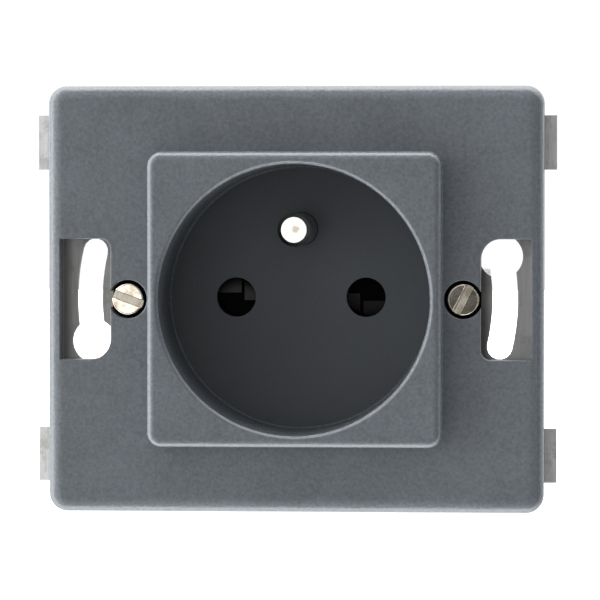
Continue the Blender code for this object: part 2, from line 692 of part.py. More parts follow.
def make_earth_pin(material):
    """Turned earth pin: chamfered tip with a centre mark, collar, stem and riveted head."""
    tip = FLOOR_FACE - EARTH_PIN_LENGTH
    radius = EARTH_PIN_RADIUS
    collar = radius + EARTH_COLLAR
    collar_front = COVER_REAR + SEAT_GAP
    collar_rear = collar_front + EARTH_COLLAR
    rivet = collar_rear + STRIP_THICKNESS + 2.0 * SEAT_GAP
    mark = EARTH_PIN_CHAMFER
    profile = [
        (0.0, tip + mark / 2.0),
        (mark, tip),
        (radius - EARTH_PIN_CHAMFER, tip),
        (radius, tip + EARTH_PIN_CHAMFER),
        (radius, collar_front),
        (collar, collar_front),
        (collar, collar_rear),
        (EARTH_STEM_RADIUS, collar_rear),
        (EARTH_STEM_RADIUS, rivet),
        (radius, rivet),
        (EARTH_STEM_RADIUS, rivet + EARTH_COLLAR),
        (0.0, rivet + EARTH_COLLAR),
    ]
    make_object("earth_pin", turned(profile, (0.0, EARTH_PIN_OFFSET)), material)


def earth_strap_front():
    """Y of the front of the strap's upper run, behind the earth pin's collar."""
    return COVER_REAR + 2.0 * SEAT_GAP + EARTH_COLLAR


def make_earth_strap(material):
    """Bent brass strap from the earth pin's rivet to the earth terminal."""
    front = earth_strap_front()
    low = EARTH_PIN_OFFSET - TERMINAL_PLATE_HALF
    step = TERMINAL_HEIGHT - TERMINAL_PLATE_HALF + STRIP_THICKNESS
    end = TERMINAL_HEIGHT + TERMINAL_PLATE_HALF
    outline = [
        (front, low),
        (front + STRIP_THICKNESS, low),
        (front + STRIP_THICKNESS, step - STRIP_THICKNESS),
        (STRIP_REAR, step - STRIP_THICKNESS),
        (STRIP_REAR, end),
        (STRIP_FRONT, end),
        (STRIP_FRONT, step),
        (front, step),
    ]
    half = TERMINAL_PLATE_HALF
    strap = make_object("earth_strap", extruded(outline, -half, half, "X"), material)
    stem_hole = rod(EARTH_STEM_RADIUS + SEAT_GAP, front - SEAT_GAP, front + STRIP_THICKNESS + SEAT_GAP,
                    (0.0, EARTH_PIN_OFFSET))
    cut(strap, stem_hole)
    screw_hole = rod(TERMINAL_SCREW_RADIUS + RUNNING_GAP, STRIP_FRONT - SEAT_GAP, STRIP_REAR + SEAT_GAP,
                     (0.0, TERMINAL_HEIGHT))
    cut(strap, screw_hole)
    settle(strap)


def housing_outline():
    """Main body outline: a rectangle with its corners cut off at 45 degrees."""
    x = BODY_HALF_WIDTH
    z = BODY_HALF_HEIGHT
    cut_back = HOUSING_CORNER_CUT
    return [
        (x, z - cut_back),
        (x - cut_back, z),
        (-x + cut_back, z),
        (-x, z - cut_back),
        (-x, -z + cut_back),
        (-x + cut_back, -z),
        (x - cut_back, -z),
        (x, -z + cut_back),
    ]


def make_rear_housing(material):
    """Housing block: screw flange, contact cavities, spring pocket, pivot and terminal chambers."""
    flange = rounded_rectangle(BODY_HALF_WIDTH, BODY_HALF_HEIGHT, BODY_CORNER)
    housing = make_object(
        "rear_housing",
        extruded(flange, HOUSING_FRONT, HOUSING_FLANGE_REAR),
        material,
    )
    join(housing, extruded(housing_outline(), HOUSING_FLANGE_REAR - HOUSING_FLANGE / 2.0, HOUSING_REAR))
    before = HOUSING_FRONT - HOUSING_FLANGE
    wall = CONTACT_MOUTH + LEAF_THICKNESS + SEAT_GAP
    floor = CONTACT_HALF_HEIGHT + LEAF_THICKNESS + SEAT_GAP
    for side in (1, -1):
        centre = contact_centre(side)
        cavity = rectangle(centre - wall, centre + wall, -floor, floor)
        cut(housing, extruded(cavity, before, CAVITY_END))
        cut(housing, extruded(strip_outline(side, SEAT_GAP), before, TERMINAL_FLOOR))
    half = TERMINAL_PLATE_HALF + SEAT_GAP
    low = EARTH_PIN_OFFSET - half
    high = TERMINAL_HEIGHT + half
    rivet_depth = earth_strap_front() + STRIP_THICKNESS + SEAT_GAP
    cut(housing, extruded(rectangle(-half, half, low, high), before, rivet_depth))
    rivet_end = rivet_depth + EARTH_COLLAR + SEAT_GAP
    cut(housing, rod(EARTH_PIN_RADIUS + SEAT_GAP, before, rivet_end, (0.0, EARTH_PIN_OFFSET)))
    step = TERMINAL_HEIGHT - TERMINAL_PLATE_HALF - SEAT_GAP
    cut(housing, extruded(rectangle(-half, half, step, high), before, TERMINAL_FLOOR))
    after = HOUSING_REAR + HOUSING_REAR_WALL
    for x, z in TERMINALS.values():
        chamber = rectangle(x - TERMINAL_HALF_WIDTH, x + TERMINAL_HALF_WIDTH,
                            z - TERMINAL_HALF_HEIGHT, z + TERMINAL_HALF_HEIGHT)
        cut(housing, extruded(chamber, STRIP_REAR, after))
        outward = math.copysign(BODY_HALF_HEIGHT + HOUSING_REAR_WALL, z)
        notch = rectangle(x - WIRE_NOTCH_HALF, x + WIRE_NOTCH_HALF, z, outward)
        cut(housing, extruded(notch, TERMINAL_FLOOR, after))
    pocket = SPRING_MEAN_RADIUS + SPRING_WIRE_RADIUS + 2.0 * RUNNING_GAP
    cut(housing, rod(pocket, before, SPRING_FLOOR, steps=ROUND_STEPS))
    leg = rectangle(-SPRING_MEAN_RADIUS - SPRING_WIRE_RADIUS - RUNNING_GAP,
                    -SPRING_MEAN_RADIUS + SPRING_WIRE_RADIUS + RUNNING_GAP,
                    -SPRING_MEAN_RADIUS - SPRING_WIRE_RADIUS - RUNNING_GAP, 0.0)
    cut(housing, extruded(leg, before, SPRING_FLOOR))
    join(housing, rod(PIVOT_RADIUS, POCKET_FLOOR + RUNNING_GAP, SPRING_FLOOR + HOUSING_REAR_WALL))
    for x, z in BOLT_CORNERS:
        centre = (x * ASSEMBLY_X, z * ASSEMBLY_X)
        hole = rod(ASSEMBLY_SCREW_RADIUS + RUNNING_GAP, before, HOUSING_REAR, centre)
        cut(housing, hole)
    settle(housing)


def slotted_screw(head_radius, head_height, shank_radius, length, seat, towards, centre):
    """A cheese-head screw along Y. Its shank runs from the seat towards +1 or -1 along Y."""
    chamfer = shank_radius / 4.0
    top = seat - towards * head_height
    end = seat + towards * length
    profile = [
        (0.0, top),
        (head_radius - chamfer, top),
        (head_radius, top + towards * chamfer),
        (head_radius, seat),
        (shank_radius, seat),
        (shank_radius, end - towards * chamfer),
        (shank_radius - chamfer, end),
        (0.0, end),
    ]
    return turned(profile, centre)


def driver_slot(head_radius, top, angle, centre):
    """Straight driver slot across a screw head, turned about the screw's axis."""
    reach = head_radius + DRIVER_SLOT_WIDTH
    outline = rectangle(-reach, reach, -DRIVER_SLOT_WIDTH / 2.0, DRIVER_SLOT_WIDTH / 2.0)
    mesh = extruded(outline, top - DRIVER_SLOT_DEPTH, top + DRIVER_SLOT_DEPTH)
    turn = Matrix.Rotation(-math.radians(angle), 4, "Y")
    bmesh.ops.transform(mesh, matrix=turn, verts=mesh.verts)
    bmesh.ops.translate(mesh, verts=mesh.verts, vec=(centre[0], 0.0, centre[1]))
    return mesh


def make_terminals(steel, plated):
    """Screw and square clamp washer of each terminal, on the strip's rear face."""
    washer_front = STRIP_REAR + SEAT_GAP
    washer_rear = washer_front + WASHER_THICKNESS
    seat = washer_rear + SEAT_GAP
    length = seat - STRIP_FRONT + TERMINAL_TAIL
    for name, (x, z) in TERMINALS.items():
        square = rounded_rectangle(WASHER_HALF, WASHER_HALF, WASHER_CORNER, WASHER_CORNER_STEPS)
        outline = [(x + u, z + v) for u, v in square]
        washer = make_object(
            f"{name}_terminal_washer",
            extruded(outline, washer_front, washer_rear),
            plated,
            origin=(x, washer_front, z),
        )
        hole = rod(TERMINAL_SCREW_RADIUS + RUNNING_GAP, washer_front - SEAT_GAP,
                   washer_rear + SEAT_GAP, (x, z))
        cut(washer, hole)
        settle(washer)
        body = slotted_screw(TERMINAL_HEAD_RADIUS, TERMINAL_HEAD_HEIGHT, TERMINAL_SCREW_RADIUS,
                             length, seat, -1.0, (x, z))
        screw = make_object(f"{name}_terminal_screw", body, steel, origin=(x, seat, z))
        top = seat + TERMINAL_HEAD_HEIGHT
        cut(screw, driver_slot(TERMINAL_HEAD_RADIUS, top, TERMINAL_SLOT_ANGLE, (x, z)))
        settle(screw)


def make_assembly_screws(steel):
    """Four screws from behind through the housing and the contact cover into the cover's bosses."""
    seat = HOUSING_FLANGE_REAR + SEAT_GAP
    length = seat - HOUSING_FRONT + ASSEMBLY_BITE
    for index, (x, z) in enumerate(BOLT_CORNERS, start=1):
        centre = (x * ASSEMBLY_X, z * ASSEMBLY_X)
        body = slotted_screw(ASSEMBLY_HEAD_RADIUS, ASSEMBLY_HEAD_HEIGHT, ASSEMBLY_SCREW_RADIUS,
                             length, seat, -1.0, centre)
        screw = make_object(f"assembly_screw_{index}", body, steel, origin=(centre[0], seat, centre[1]))
        top = seat + ASSEMBLY_HEAD_HEIGHT
        cut(screw, driver_slot(ASSEMBLY_HEAD_RADIUS, top, ASSEMBLY_SLOT_ANGLE * x * z, centre))
        settle(screw)


def cam_point(travel):
    """Centre of the nut's side pin in the claw's own frame, after the nut has moved this far.

    The claw swings in step with the nut, so the pin's place is turned back by the claw's angle.
    """
    angle = math.radians(CLAW_SWING) * travel / NUT_TRAVEL
    distance = NUT_REST - travel - CLAW_PIVOT_DEPTH
    x = CLAW_X - distance * math.sin(angle)
    y = CLAW_PIVOT_DEPTH + distance * math.cos(angle)
    return Vector((x, y))


def cam_edge():
    """Edge that the nut's side pins push on: the pin's path, moved outwards by its radius and gap."""
    step = NUT_TRAVEL / CAM_STEPS
    points = []
    for index in range(CAM_STEPS + 2):
        travel = index * step
        here = cam_point(travel)
        ahead = cam_point(travel + step / 10.0)
        behind = cam_point(travel - step / 10.0)
        along = (ahead - behind).normalized()
        outward = Vector((-along.y, along.x))
        points.append(tuple(here + outward * CAM_OFFSET))
    return points


def cheek_outline():
    """Side view of a claw in XY: round nose at the pivot, straight back, tapered tail, cam edge."""
    pivot = (CLAW_X, CLAW_PIVOT_DEPTH)
    tail = NUT_REST + CLAW_TAIL
    points = arc(pivot, CLAW_NOSE, 180.0, 360.0, ARC_STEPS)
    points += [
        (CLAW_BACK, CLAW_PIVOT_DEPTH + 2.0 * CLAW_SHEET),
        (CLAW_BACK, NUT_REST - NUT_THICKNESS / 2.0 - CLAW_SHEET),
        (CLAW_BACK - CLAW_TAPER, tail),
        (CLAW_X + CAM_OFFSET, tail - CLAW_SHEET),
    ]
    points += cam_edge()
    return points


def channel_outline():
    """Space between a claw's cheeks in XY, which leaves a back only along the middle of the claw."""
    back = CLAW_BACK - CLAW_SHEET
    beyond = CLAW_BACK + CLAW_SHEET
    front = CLAW_PIVOT_DEPTH - CLAW_NOSE - CLAW_SHEET
    end = NUT_REST + CLAW_TAIL + CLAW_SHEET
    back_start = CLAW_PIVOT_DEPTH + 2.0 * CLAW_SHEET
    back_end = NUT_REST - NUT_THICKNESS / 2.0 - CLAW_SHEET
    return [
        (BODY_HALF_WIDTH, front),
        (beyond, front),
        (beyond, back_start),
        (back, back_start),
        (back, back_end),
        (beyond, back_end),
        (beyond, end),
        (BODY_HALF_WIDTH, end),
    ]


def make_claw(side, material):
    """Folded steel claw: two cheeks with pointed tails, a back between them and half-sheared pivots."""
    turn = half_turn(side)
    mirror = -1.0 if side == "left" else 1.0
    origin = (mirror * CLAW_X, CLAW_PIVOT_DEPTH, 0.0)
    body = extruded(cheek_outline(), -CHEEK_OUTER, CHEEK_OUTER, "Z")
    claw = make_object(f"{side}_claw", body, material, turn, origin)
    cut(claw, extruded(channel_outline(), -CHEEK_INNER, CHEEK_INNER, "Z"), turn)
    for z in (-1, 1):
        low = z * (CHEEK_OUTER - CLAW_SHEET / 2.0)
        high = z * (EAR_OUTER + SEAT_GAP)
        join(claw, rod_along_z(CLAW_PIVOT_RADIUS, low, high, (CLAW_X, CLAW_PIVOT_DEPTH)), turn)
    settle(claw)


def make_claw_nut(side, material):
    """Square nut that travels on the claw screw, with a round side pin for each cheek."""
    turn = half_turn(side)
    mirror = -1.0 if side == "left" else 1.0
    low = NUT_REST - NUT_THICKNESS / 2.0
    high = NUT_REST + NUT_THICKNESS / 2.0
    outer = CLAW_X + CLAW_SCREW_RADIUS + RUNNING_GAP + NUT_WALL
    inner = BODY_HALF_WIDTH + 2.0 * RUNNING_GAP
    outline = rectangle(inner, outer, -NUT_HALF_HEIGHT, NUT_HALF_HEIGHT)
    nut = make_object(
        f"{side}_claw_nut",
        extruded(outline, low, high),
        material,
        turn,
        (mirror * CLAW_X, NUT_REST, 0.0),
    )
    pin_end = CHEEK_OUTER
    join(nut, rod_along_z(NUT_PIN_RADIUS, -pin_end, pin_end, (CLAW_X, NUT_REST)), turn)
    bore = rod(CLAW_SCREW_RADIUS + RUNNING_GAP, low - NUT_THICKNESS, high + NUT_THICKNESS, (CLAW_X, 0.0))
    cut(nut, bore, turn)
    settle(nut)


def make_claw_screw(side, slot_angle, material):
    """Long slotted screw: its head stands on the frame, level with the plate's face."""
    mirror = -1.0 if side == "left" else 1.0
    seat = -(FRAME_THICKNESS + SEAT_GAP)
    top = PLATE_FACE
    length = NUT_REST + NUT_THICKNESS + CLAW_SHEET - seat
    centre = (mirror * CLAW_X, 0.0)
    body = slotted_screw(CLAW_HEAD_RADIUS, seat - top, CLAW_SCREW_RADIUS, length, seat, 1.0, centre)
    screw = make_object(f"{side}_claw_screw", body, material, origin=(centre[0], seat, 0.0))
    cut(screw, driver_slot(CLAW_HEAD_RADIUS, top, slot_angle, centre))
    settle(screw)


def main():
    """Makes every piece of the socket."""
    clear_scene()
    grey = make_material("grey_thermoplastic", (0.135, 0.147, 0.160), 0.45, 0.0)
    dark = make_material("dark_grey_thermoplastic", (0.060, 0.065, 0.070), 0.50, 0.0)
    black = make_material("black_thermoset", (0.030, 0.030, 0.032), 0.55, 0.0)
    satin = make_material("satin_black_plastic", (0.060, 0.060, 0.064), 0.40, 0.0)
    zinc = make_material("zinc_plated_steel", (0.500, 0.490, 0.470), 0.35, 1.0)
    nickel = make_material("nickel_plated_brass", (0.700, 0.680, 0.620), 0.25, 1.0)
    brass = make_material("brass", (0.720, 0.560, 0.260), 0.30, 1.0)
    spring_steel = make_material("spring_steel", (0.420, 0.420, 0.420), 0.30, 1.0)
    make_front_cover(grey)
    make_support_frame(zinc)
    make_contact_cover(dark)
    make_rear_housing(black)
    make_shutter(satin)
    make_shutter_spring(spring_steel)
    make_contact("phase_contact", 1, brass)
    make_contact("neutral_contact", -1, brass)
    make_earth_pin(nickel)
    make_earth_strap(brass)
    make_terminals(nickel, zinc)
    make_assembly_screws(zinc)
    for side, slot_angle in (("left", LEFT_CLAW_SLOT_ANGLE), ("right", RIGHT_CLAW_SLOT_ANGLE)):
        make_claw_screw(side, slot_angle, nickel)
        make_claw_nut(side, zinc)
        make_claw(side, spring_steel)


main()
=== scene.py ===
# %% [markdown]
# # A flush modular socket, dressed for its photograph
# The real object is the mechanism of a wall socket without its outer frame: a grey moulded
# cover with a raised square and a round plug well, clipped on a pressed steel frame. Every
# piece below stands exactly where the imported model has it, in metres, with the front at -Y.

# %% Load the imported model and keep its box
import json
import math

import bmesh
import bpy
import numpy as np
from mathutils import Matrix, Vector


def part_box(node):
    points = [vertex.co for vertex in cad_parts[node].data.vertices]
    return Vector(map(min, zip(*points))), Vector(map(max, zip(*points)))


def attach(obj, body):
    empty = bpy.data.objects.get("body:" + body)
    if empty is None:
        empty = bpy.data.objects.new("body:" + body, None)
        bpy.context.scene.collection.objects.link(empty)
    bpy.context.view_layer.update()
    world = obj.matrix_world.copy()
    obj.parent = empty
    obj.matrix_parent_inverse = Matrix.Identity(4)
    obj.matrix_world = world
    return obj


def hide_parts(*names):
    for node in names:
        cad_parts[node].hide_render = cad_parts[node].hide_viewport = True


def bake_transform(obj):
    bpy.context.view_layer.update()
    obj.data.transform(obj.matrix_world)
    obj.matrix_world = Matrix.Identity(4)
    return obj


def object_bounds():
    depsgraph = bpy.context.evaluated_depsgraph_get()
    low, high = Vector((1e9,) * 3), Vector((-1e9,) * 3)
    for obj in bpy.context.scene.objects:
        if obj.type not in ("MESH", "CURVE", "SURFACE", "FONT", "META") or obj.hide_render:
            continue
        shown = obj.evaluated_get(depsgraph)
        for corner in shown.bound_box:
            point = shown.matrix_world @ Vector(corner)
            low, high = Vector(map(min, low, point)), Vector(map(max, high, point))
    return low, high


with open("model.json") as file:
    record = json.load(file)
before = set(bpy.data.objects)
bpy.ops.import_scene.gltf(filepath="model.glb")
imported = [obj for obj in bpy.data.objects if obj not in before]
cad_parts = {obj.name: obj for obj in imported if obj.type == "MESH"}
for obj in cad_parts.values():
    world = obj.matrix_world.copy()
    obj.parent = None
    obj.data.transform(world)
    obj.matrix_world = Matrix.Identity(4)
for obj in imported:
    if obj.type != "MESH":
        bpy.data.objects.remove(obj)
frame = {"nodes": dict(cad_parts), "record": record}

MM = 0.001
cad_box = [list(corner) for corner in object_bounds()]
print("model box, mm:", np.round(np.array(cad_box) / MM, 2).tolist())

# %% [markdown]
# ## Helpers for surfaces
# A surface is a grid of points, worked out as one numpy array. Rows run along the profile and
# columns run round the piece. The grid becomes quads, its seam and its poles are welded, and
# its faces are turned outwards. This keeps every later cell down to a formula.


# %% From a grid of points to a closed mesh
WELD = 0.0000005


def grid_quads(rows, columns, close_rows, close_columns):
    """Corner numbers of each quad: (i, j), (i, j+1), (i+1, j+1), (i+1, j), wrapping where closed."""
    i = np.arange(rows if close_rows else rows - 1)
    j = np.arange(columns if close_columns else columns - 1)
    i, j = np.meshgrid(i, j, indexing="ij")
    below = (i + 1) % rows
    beside = (j + 1) % columns
    corners = (i * columns + j, i * columns + beside, below * columns + beside, below * columns + j)
    return np.stack(corners, axis=-1).reshape(-1, 4)


def weld(mesh, flat=0.0):
    """Merges doubles, drops faces without area, joins flat faces if asked and faces outwards."""
    work = bmesh.new()
    work.from_mesh(mesh)
    bmesh.ops.remove_doubles(work, verts=work.verts, dist=WELD)
    bmesh.ops.dissolve_degenerate(work, edges=work.edges, dist=WELD)
    if flat:
        bmesh.ops.dissolve_limit(work, angle_limit=flat, verts=work.verts, edges=work.edges)
    bmesh.ops.recalc_face_normals(work, faces=work.faces)
    work.to_mesh(mesh)
    work.free()
    mesh.update()


def placed(name, data):
    """A new object for a mesh, a camera or a lamp, linked into the scene."""
    item = bpy.data.objects.new(name, data)
    bpy.context.scene.collection.objects.link(item)
    return item


def surface(name, points, close_rows=False, close_columns=True, caps=False):
    """A mesh object from points[row, column] = (x, y, z), with flat caps on its ends if asked."""
    rows, columns = points.shape[:2]
    faces = grid_quads(rows, columns, close_rows, close_columns).tolist()
    if caps:
        faces.append(list(range(columns)))
        faces.append(list(range((rows - 1) * columns, rows * columns)))
    mesh = bpy.data.meshes.new(name)
    mesh.from_pydata(points.reshape(-1, 3), [], faces)
    weld(mesh)
    return placed(name, mesh)


# %% [markdown]
# Two families of shapes cover nearly all of this object. A turned piece carries a profile of
# (radius, y) pairs round an axis along Y. A prism pushes an outline along Y, or along X. Arcs
# and rounded rectangles are their building blocks.


# %% Arcs, turned pieces and prisms
def arc(centre, radius, start, end, steps):
    """Points at centre + radius * (cos a, sin a), for angles a from start to end in degrees."""
    a = np.radians(np.linspace(start, end, steps + 1))
    return np.stack([centre[0] + radius * np.cos(a), centre[1] + radius * np.sin(a)], axis=-1)


def turned(name, profile, centre=(0.0, 0.0), steps=96):
    """Carries each (radius, y) round: x = centre x + radius * cos a, z = centre z + radius * sin a."""
    profile = np.asarray(profile, dtype=float)
    a = np.linspace(0.0, math.tau, steps, endpoint=False)
    radius = profile[:, :1]
    x = centre[0] + radius * np.cos(a)
    z = centre[1] + radius * np.sin(a)
    y = np.broadcast_to(profile[:, 1:], x.shape)
    closed = profile[0, 0] > 0.0
    return surface(name, np.stack([x, y, z], axis=-1), close_rows=closed)


def cylinder(name, radius, ends, centre, steps):
    """A turned piece of one radius between two depths along Y."""
    start, end = ends
    return turned(name, [(0.0, start), (radius, start), (radius, end), (0.0, end)], centre, steps)


AXIS_ORDER = {"X": (2, 0, 1), "Y": (0, 2, 1)}


def prism(name, outline, start, end, axis="Y"):
    """Pushes an outline (u, v) from start to end. Along Y it lies in XZ, and along X in YZ."""
    outline = np.asarray(outline, dtype=float)
    ends = np.array([start, end])[:, None] * np.ones(len(outline))
    u = np.broadcast_to(outline[:, 0], ends.shape)
    v = np.broadcast_to(outline[:, 1], ends.shape)
    stack = np.stack([u, v, ends], axis=-1)
    return surface(name, stack[..., list(AXIS_ORDER[axis])], caps=True)


CORNER_POINTS = 13
SIDE_POINTS = 37


def square_ring(half_width, half_height, corner):
    """Rounded rectangle as a fixed count of points: four arcs, with evenly spaced points between."""
    signs = [(1, 1), (-1, 1), (-1, -1), (1, -1)]
    pivots = [(sx * (half_width - corner), sz * (half_height - corner)) for sx, sz in signs]
    arcs = [arc(pivot, corner, 90.0 * k, 90.0 * (k + 1), CORNER_POINTS - 1)
            for k, pivot in enumerate(pivots)]
    share = np.linspace(0.0, 1.0, SIDE_POINTS + 2)[1:-1, None]
    sides = [(1.0 - share) * arcs[k][-1] + share * arcs[(k + 1) % 4][0] for k in range(4)]
    return np.concatenate([part for pair in zip(arcs, sides) for part in pair])


def half_turned(outline):
    """The left side of the mechanism is its right side turned half round the well's axis."""
    return -np.asarray(outline)


print("ring of", len(square_ring(1.0, 1.0, 0.1)), "points")

# %% [markdown]
# ## Helpers for cutting and finishing
# Windows and holes are cut with exact Booleans, which leave knife-sharp edges. No moulding or
# stamping has those, and a sharp edge catches no light, so each piece is then bevelled by 0.03
# to 0.2 mm wherever two faces meet at more than the given angle.


# %% Booleans and softened edges
FLAT_ANGLE = math.radians(32.0)
BEVEL_STEPS = 2
FLAT_WEIGHT = 80


def carve(item, tools, operation="DIFFERENCE"):
    """Cuts the tools out of an object, or joins them to it, and leaves a plain mesh."""
    for tool in tools:
        modifier = item.modifiers.new(tool.name, "BOOLEAN")
        modifier.operation = operation
        modifier.solver = "EXACT"
        modifier.object = tool
    graph = bpy.context.evaluated_depsgraph_get()
    mesh = bpy.data.meshes.new_from_object(item.evaluated_get(graph))
    item.modifiers.clear()
    item.data = mesh
    mesh.name = item.name
    for tool in tools:
        bpy.data.objects.remove(tool, do_unlink=True)
    weld(mesh)


def soften(item, width, angle=40.0):
    """A narrow bevel on every edge sharper than the angle, with shading that keeps flats flat."""
    item.data.shade_smooth()
    item.data.set_sharp_from_angle(angle=FLAT_ANGLE)
    bevel = item.modifiers.new("soft_edges", "BEVEL")
    bevel.width = width
    bevel.segments = BEVEL_STEPS
    bevel.limit_method = "ANGLE"
    bevel.angle_limit = math.radians(angle)
    bevel.use_clamp_overlap = True
    bevel.harden_normals = False
    weights = item.modifiers.new("flat_shading", "WEIGHTED_NORMAL")
    weights.keep_sharp = True
    weights.weight = FLAT_WEIGHT


# %% [markdown]
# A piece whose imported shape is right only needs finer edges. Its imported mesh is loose
# triangles, so a copy is welded and its flat faces are joined before the bevel goes on.


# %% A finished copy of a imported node
JOIN_ANGLE = math.radians(0.6)
record = frame["record"]
node_bodies = {name: body for body, names in record["behaviour"]["bodies"].items() for name in names}


def dress(item, *nodes):
    """Puts a piece in the place of its nodes: same body, same slot, and the slot's own material."""
    item.data.materials.clear()
    item.data.materials.append(finish_of[nodes[0]])
    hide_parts(*nodes)
    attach(item, node_bodies[nodes[0]])


def finished_copy(name, width, cutters=(), additions=()):
    """Welds a copy of a node's mesh, joins its flat faces, adds or cuts if asked and softens its edges."""
    mesh = frame["nodes"][name].data.copy()
    mesh.name = name + "_finished"
    weld(mesh, JOIN_ANGLE)
    item = placed(name + "_finished", mesh)
    if additions:
        carve(item, additions, "UNION")
    if cutters:
        carve(item, cutters)
    soften(item, width)
    dress(item, name)


print("bodies:", sorted(set(node_bodies.values())))

# %% [markdown]
# ## Material helpers
# Small functions keep the node trees readable. `node` adds one node and sets its values, `maths`
# joins numbers and sockets, `noise` gives a cloudy value, `smooth_step` makes a mask and `mixed`
# mixes two colours. A group is a recipe with named inputs and outputs that several materials
# share, each with its own numbers.


# %% Node helpers
COLOUR_A, COLOUR_B, MIXED_COLOUR = 6, 7, 2
FLOAT, COLOR, VECTOR = "NodeSocketFloat", "NodeSocketColor", "NodeSocketVector"


def fill(made, socket, value):
    """Links a socket to a node's input, or sets the input to a value."""
    if isinstance(value, bpy.types.NodeSocket):
        made.id_data.links.new(value, socket)
    else:
        socket.default_value = value


def node(tree, kind, settings=None, **inputs):
    """Adds a node, sets its properties and then its named inputs (underscores stand for spaces)."""
    made = tree.nodes.new(kind)
    for key, value in (settings or {}).items():
        setattr(made, key, value)
    for key, value in inputs.items():
        fill(made, made.inputs[key.replace("_", " ")], value)
    return made


def new_group(name, inputs, outputs):
    """A shader node group. Inputs are (name, socket kind, value) and outputs (name, socket kind)."""
    tree = bpy.data.node_groups.new(name, "ShaderNodeTree")
    for label, kind, value in inputs:
        socket = tree.interface.new_socket(name=label, in_out="INPUT", socket_type=kind)
        if value is not None:
            socket.default_value = value
    for label, kind in outputs:
        tree.interface.new_socket(name=label, in_out="OUTPUT", socket_type=kind)
    return tree, tree.nodes.new("NodeGroupInput").outputs, tree.nodes.new("NodeGroupOutput").inputs


def new_material(name, **constants):
    """A Principled material with its constant inputs set on the shader's own sockets."""
    material = bpy.data.materials.new(name)
    material.use_nodes = True
    shader = material.node_tree.nodes["Principled BSDF"]
    for key, value in constants.items():
        shader.inputs[key.replace("_", " ")].default_value = value
    return material, material.node_tree, shader


def maths(tree, operation, first, second=None, third=None):
    """One Math node; numbers and sockets may be mixed."""
    made = tree.nodes.new("ShaderNodeMath")
    made.operation = operation
    for socket, value in zip(made.inputs, (first, second, third)):
        if value is not None:
            fill(made, socket, value)
    return made.outputs[0]


def part_of(tree, vector, axis):
    """One coordinate of a vector."""
    return node(tree, "ShaderNodeSeparateXYZ", Vector=vector).outputs[axis]


def smooth_step(tree, value, start, end, low=0.0, high=1.0):
    """A mask that goes smoothly from low, where the value is start, to high, where it is end."""
    return node(tree, "ShaderNodeMapRange", {"interpolation_type": "SMOOTHSTEP"}, Value=value,
                From_Min=start, From_Max=end, To_Min=low, To_Max=high).outputs[0]


def noise(tree, place, scale, detail, roughness=0.5):
    """A cloudy value from 0 to 1."""
    return node(tree, "ShaderNodeTexNoise", Vector=place, Scale=scale, Detail=detail,
                Roughness=roughness).outputs["Fac"]


def around_zero(tree, value):
    """A noise's value less its mean of a half."""
    return maths(tree, "SUBTRACT", value, 0.5)


def mixed(tree, share, first, second, blend="MIX"):
    """Two colours, mixed by a share from 0 (the first) to 1 (the second, or the blend of both)."""
    made = node(tree, "ShaderNodeMix", {"data_type": "RGBA", "blend_type": blend}, Factor=share)
    for index, colour in ((COLOUR_A, first), (COLOUR_B, second)):
        fill(made, made.inputs[index], (*colour, 1.0) if isinstance(colour, tuple) else colour)
    return made.outputs[MIXED_COLOUR]


def length_after(tree, operation, vector, numbers):
    """Length of a vector after one Vector Math step with three fixed numbers."""
    step = node(tree, "ShaderNodeVectorMath", {"operation": operation}, Vector=vector)
    step.inputs[1].default_value = numbers
    length = node(tree, "ShaderNodeVectorMath", {"operation": "LENGTH"}, Vector=step.outputs[0])
    return length.outputs["Value"]


def bump(tree, height, strength, depth):
    """A surface normal from a height; the whole height stands for this depth in metres."""
    return node(tree, "ShaderNodeBump", Strength=strength, Distance=depth, Height=height).outputs[0]


def wire(tree, inputs, **sockets):
    """Links sockets to the named inputs of a shader or of a group's output node."""
    for key, socket in sockets.items():
        tree.links.new(socket, inputs[key.replace("_", " ")])


# %% [markdown]
# ## Moulded grain
# The cover is a matte thermoplastic from a spark-eroded mould. It has a pebbled grain of a few
# tenths of a millimetre, a cloudier variation of the colour where the melt flowed, and sparse
# pale specks of dust and rubbed peaks. One group gives the grain's height, a colour and a
# roughness offset, for all four plastics.

# %% Group: moulded grain
GRAIN_CONTRAST = 0.85
CLOUD_SHEEN = 0.15
SPECK_SPACING = 0.22
SPECK_REACH = (0.16, 0.04)
SPECK_ABOVE = 0.62

grain, grain_in, grain_out = new_group(
    "moulded_grain",
    [("Place", VECTOR, None), ("Grain Size", FLOAT, 8000.0), ("Cloud Size", FLOAT, 130.0),
     ("Base Colour", COLOR, (0.1, 0.1, 0.1, 1.0)), ("Speck Colour", COLOR, (0.4, 0.4, 0.4, 1.0)),
     ("Cloudiness", FLOAT, 0.12), ("Specks", FLOAT, 0.5)],
    [("Colour", COLOR), ("Height", FLOAT), ("Roughness Offset", FLOAT)],
)
fine = noise(grain, grain_in["Place"], grain_in["Grain Size"], 2.0, 0.55)
cloud = noise(grain, grain_in["Place"], grain_in["Cloud Size"], 4.0, 0.6)
cells = node(grain, "ShaderNodeTexVoronoi", Vector=grain_in["Place"],
             Scale=maths(grain, "MULTIPLY", grain_in["Grain Size"], SPECK_SPACING))
speck = smooth_step(grain, cells.outputs["Distance"], *SPECK_REACH)
chance = node(grain, "ShaderNodeSeparateColor", Color=cells.outputs["Color"]).outputs[0]
rare_speck = maths(grain, "MULTIPLY", speck, maths(grain, "GREATER_THAN", chance, SPECK_ABOVE))
speck_mask = maths(grain, "MULTIPLY", rare_speck, grain_in["Specks"])
shade = maths(grain, "MULTIPLY_ADD", around_zero(grain, cloud), grain_in["Cloudiness"], 1.0)
peaks = maths(grain, "MULTIPLY_ADD", around_zero(grain, fine), GRAIN_CONTRAST, shade)
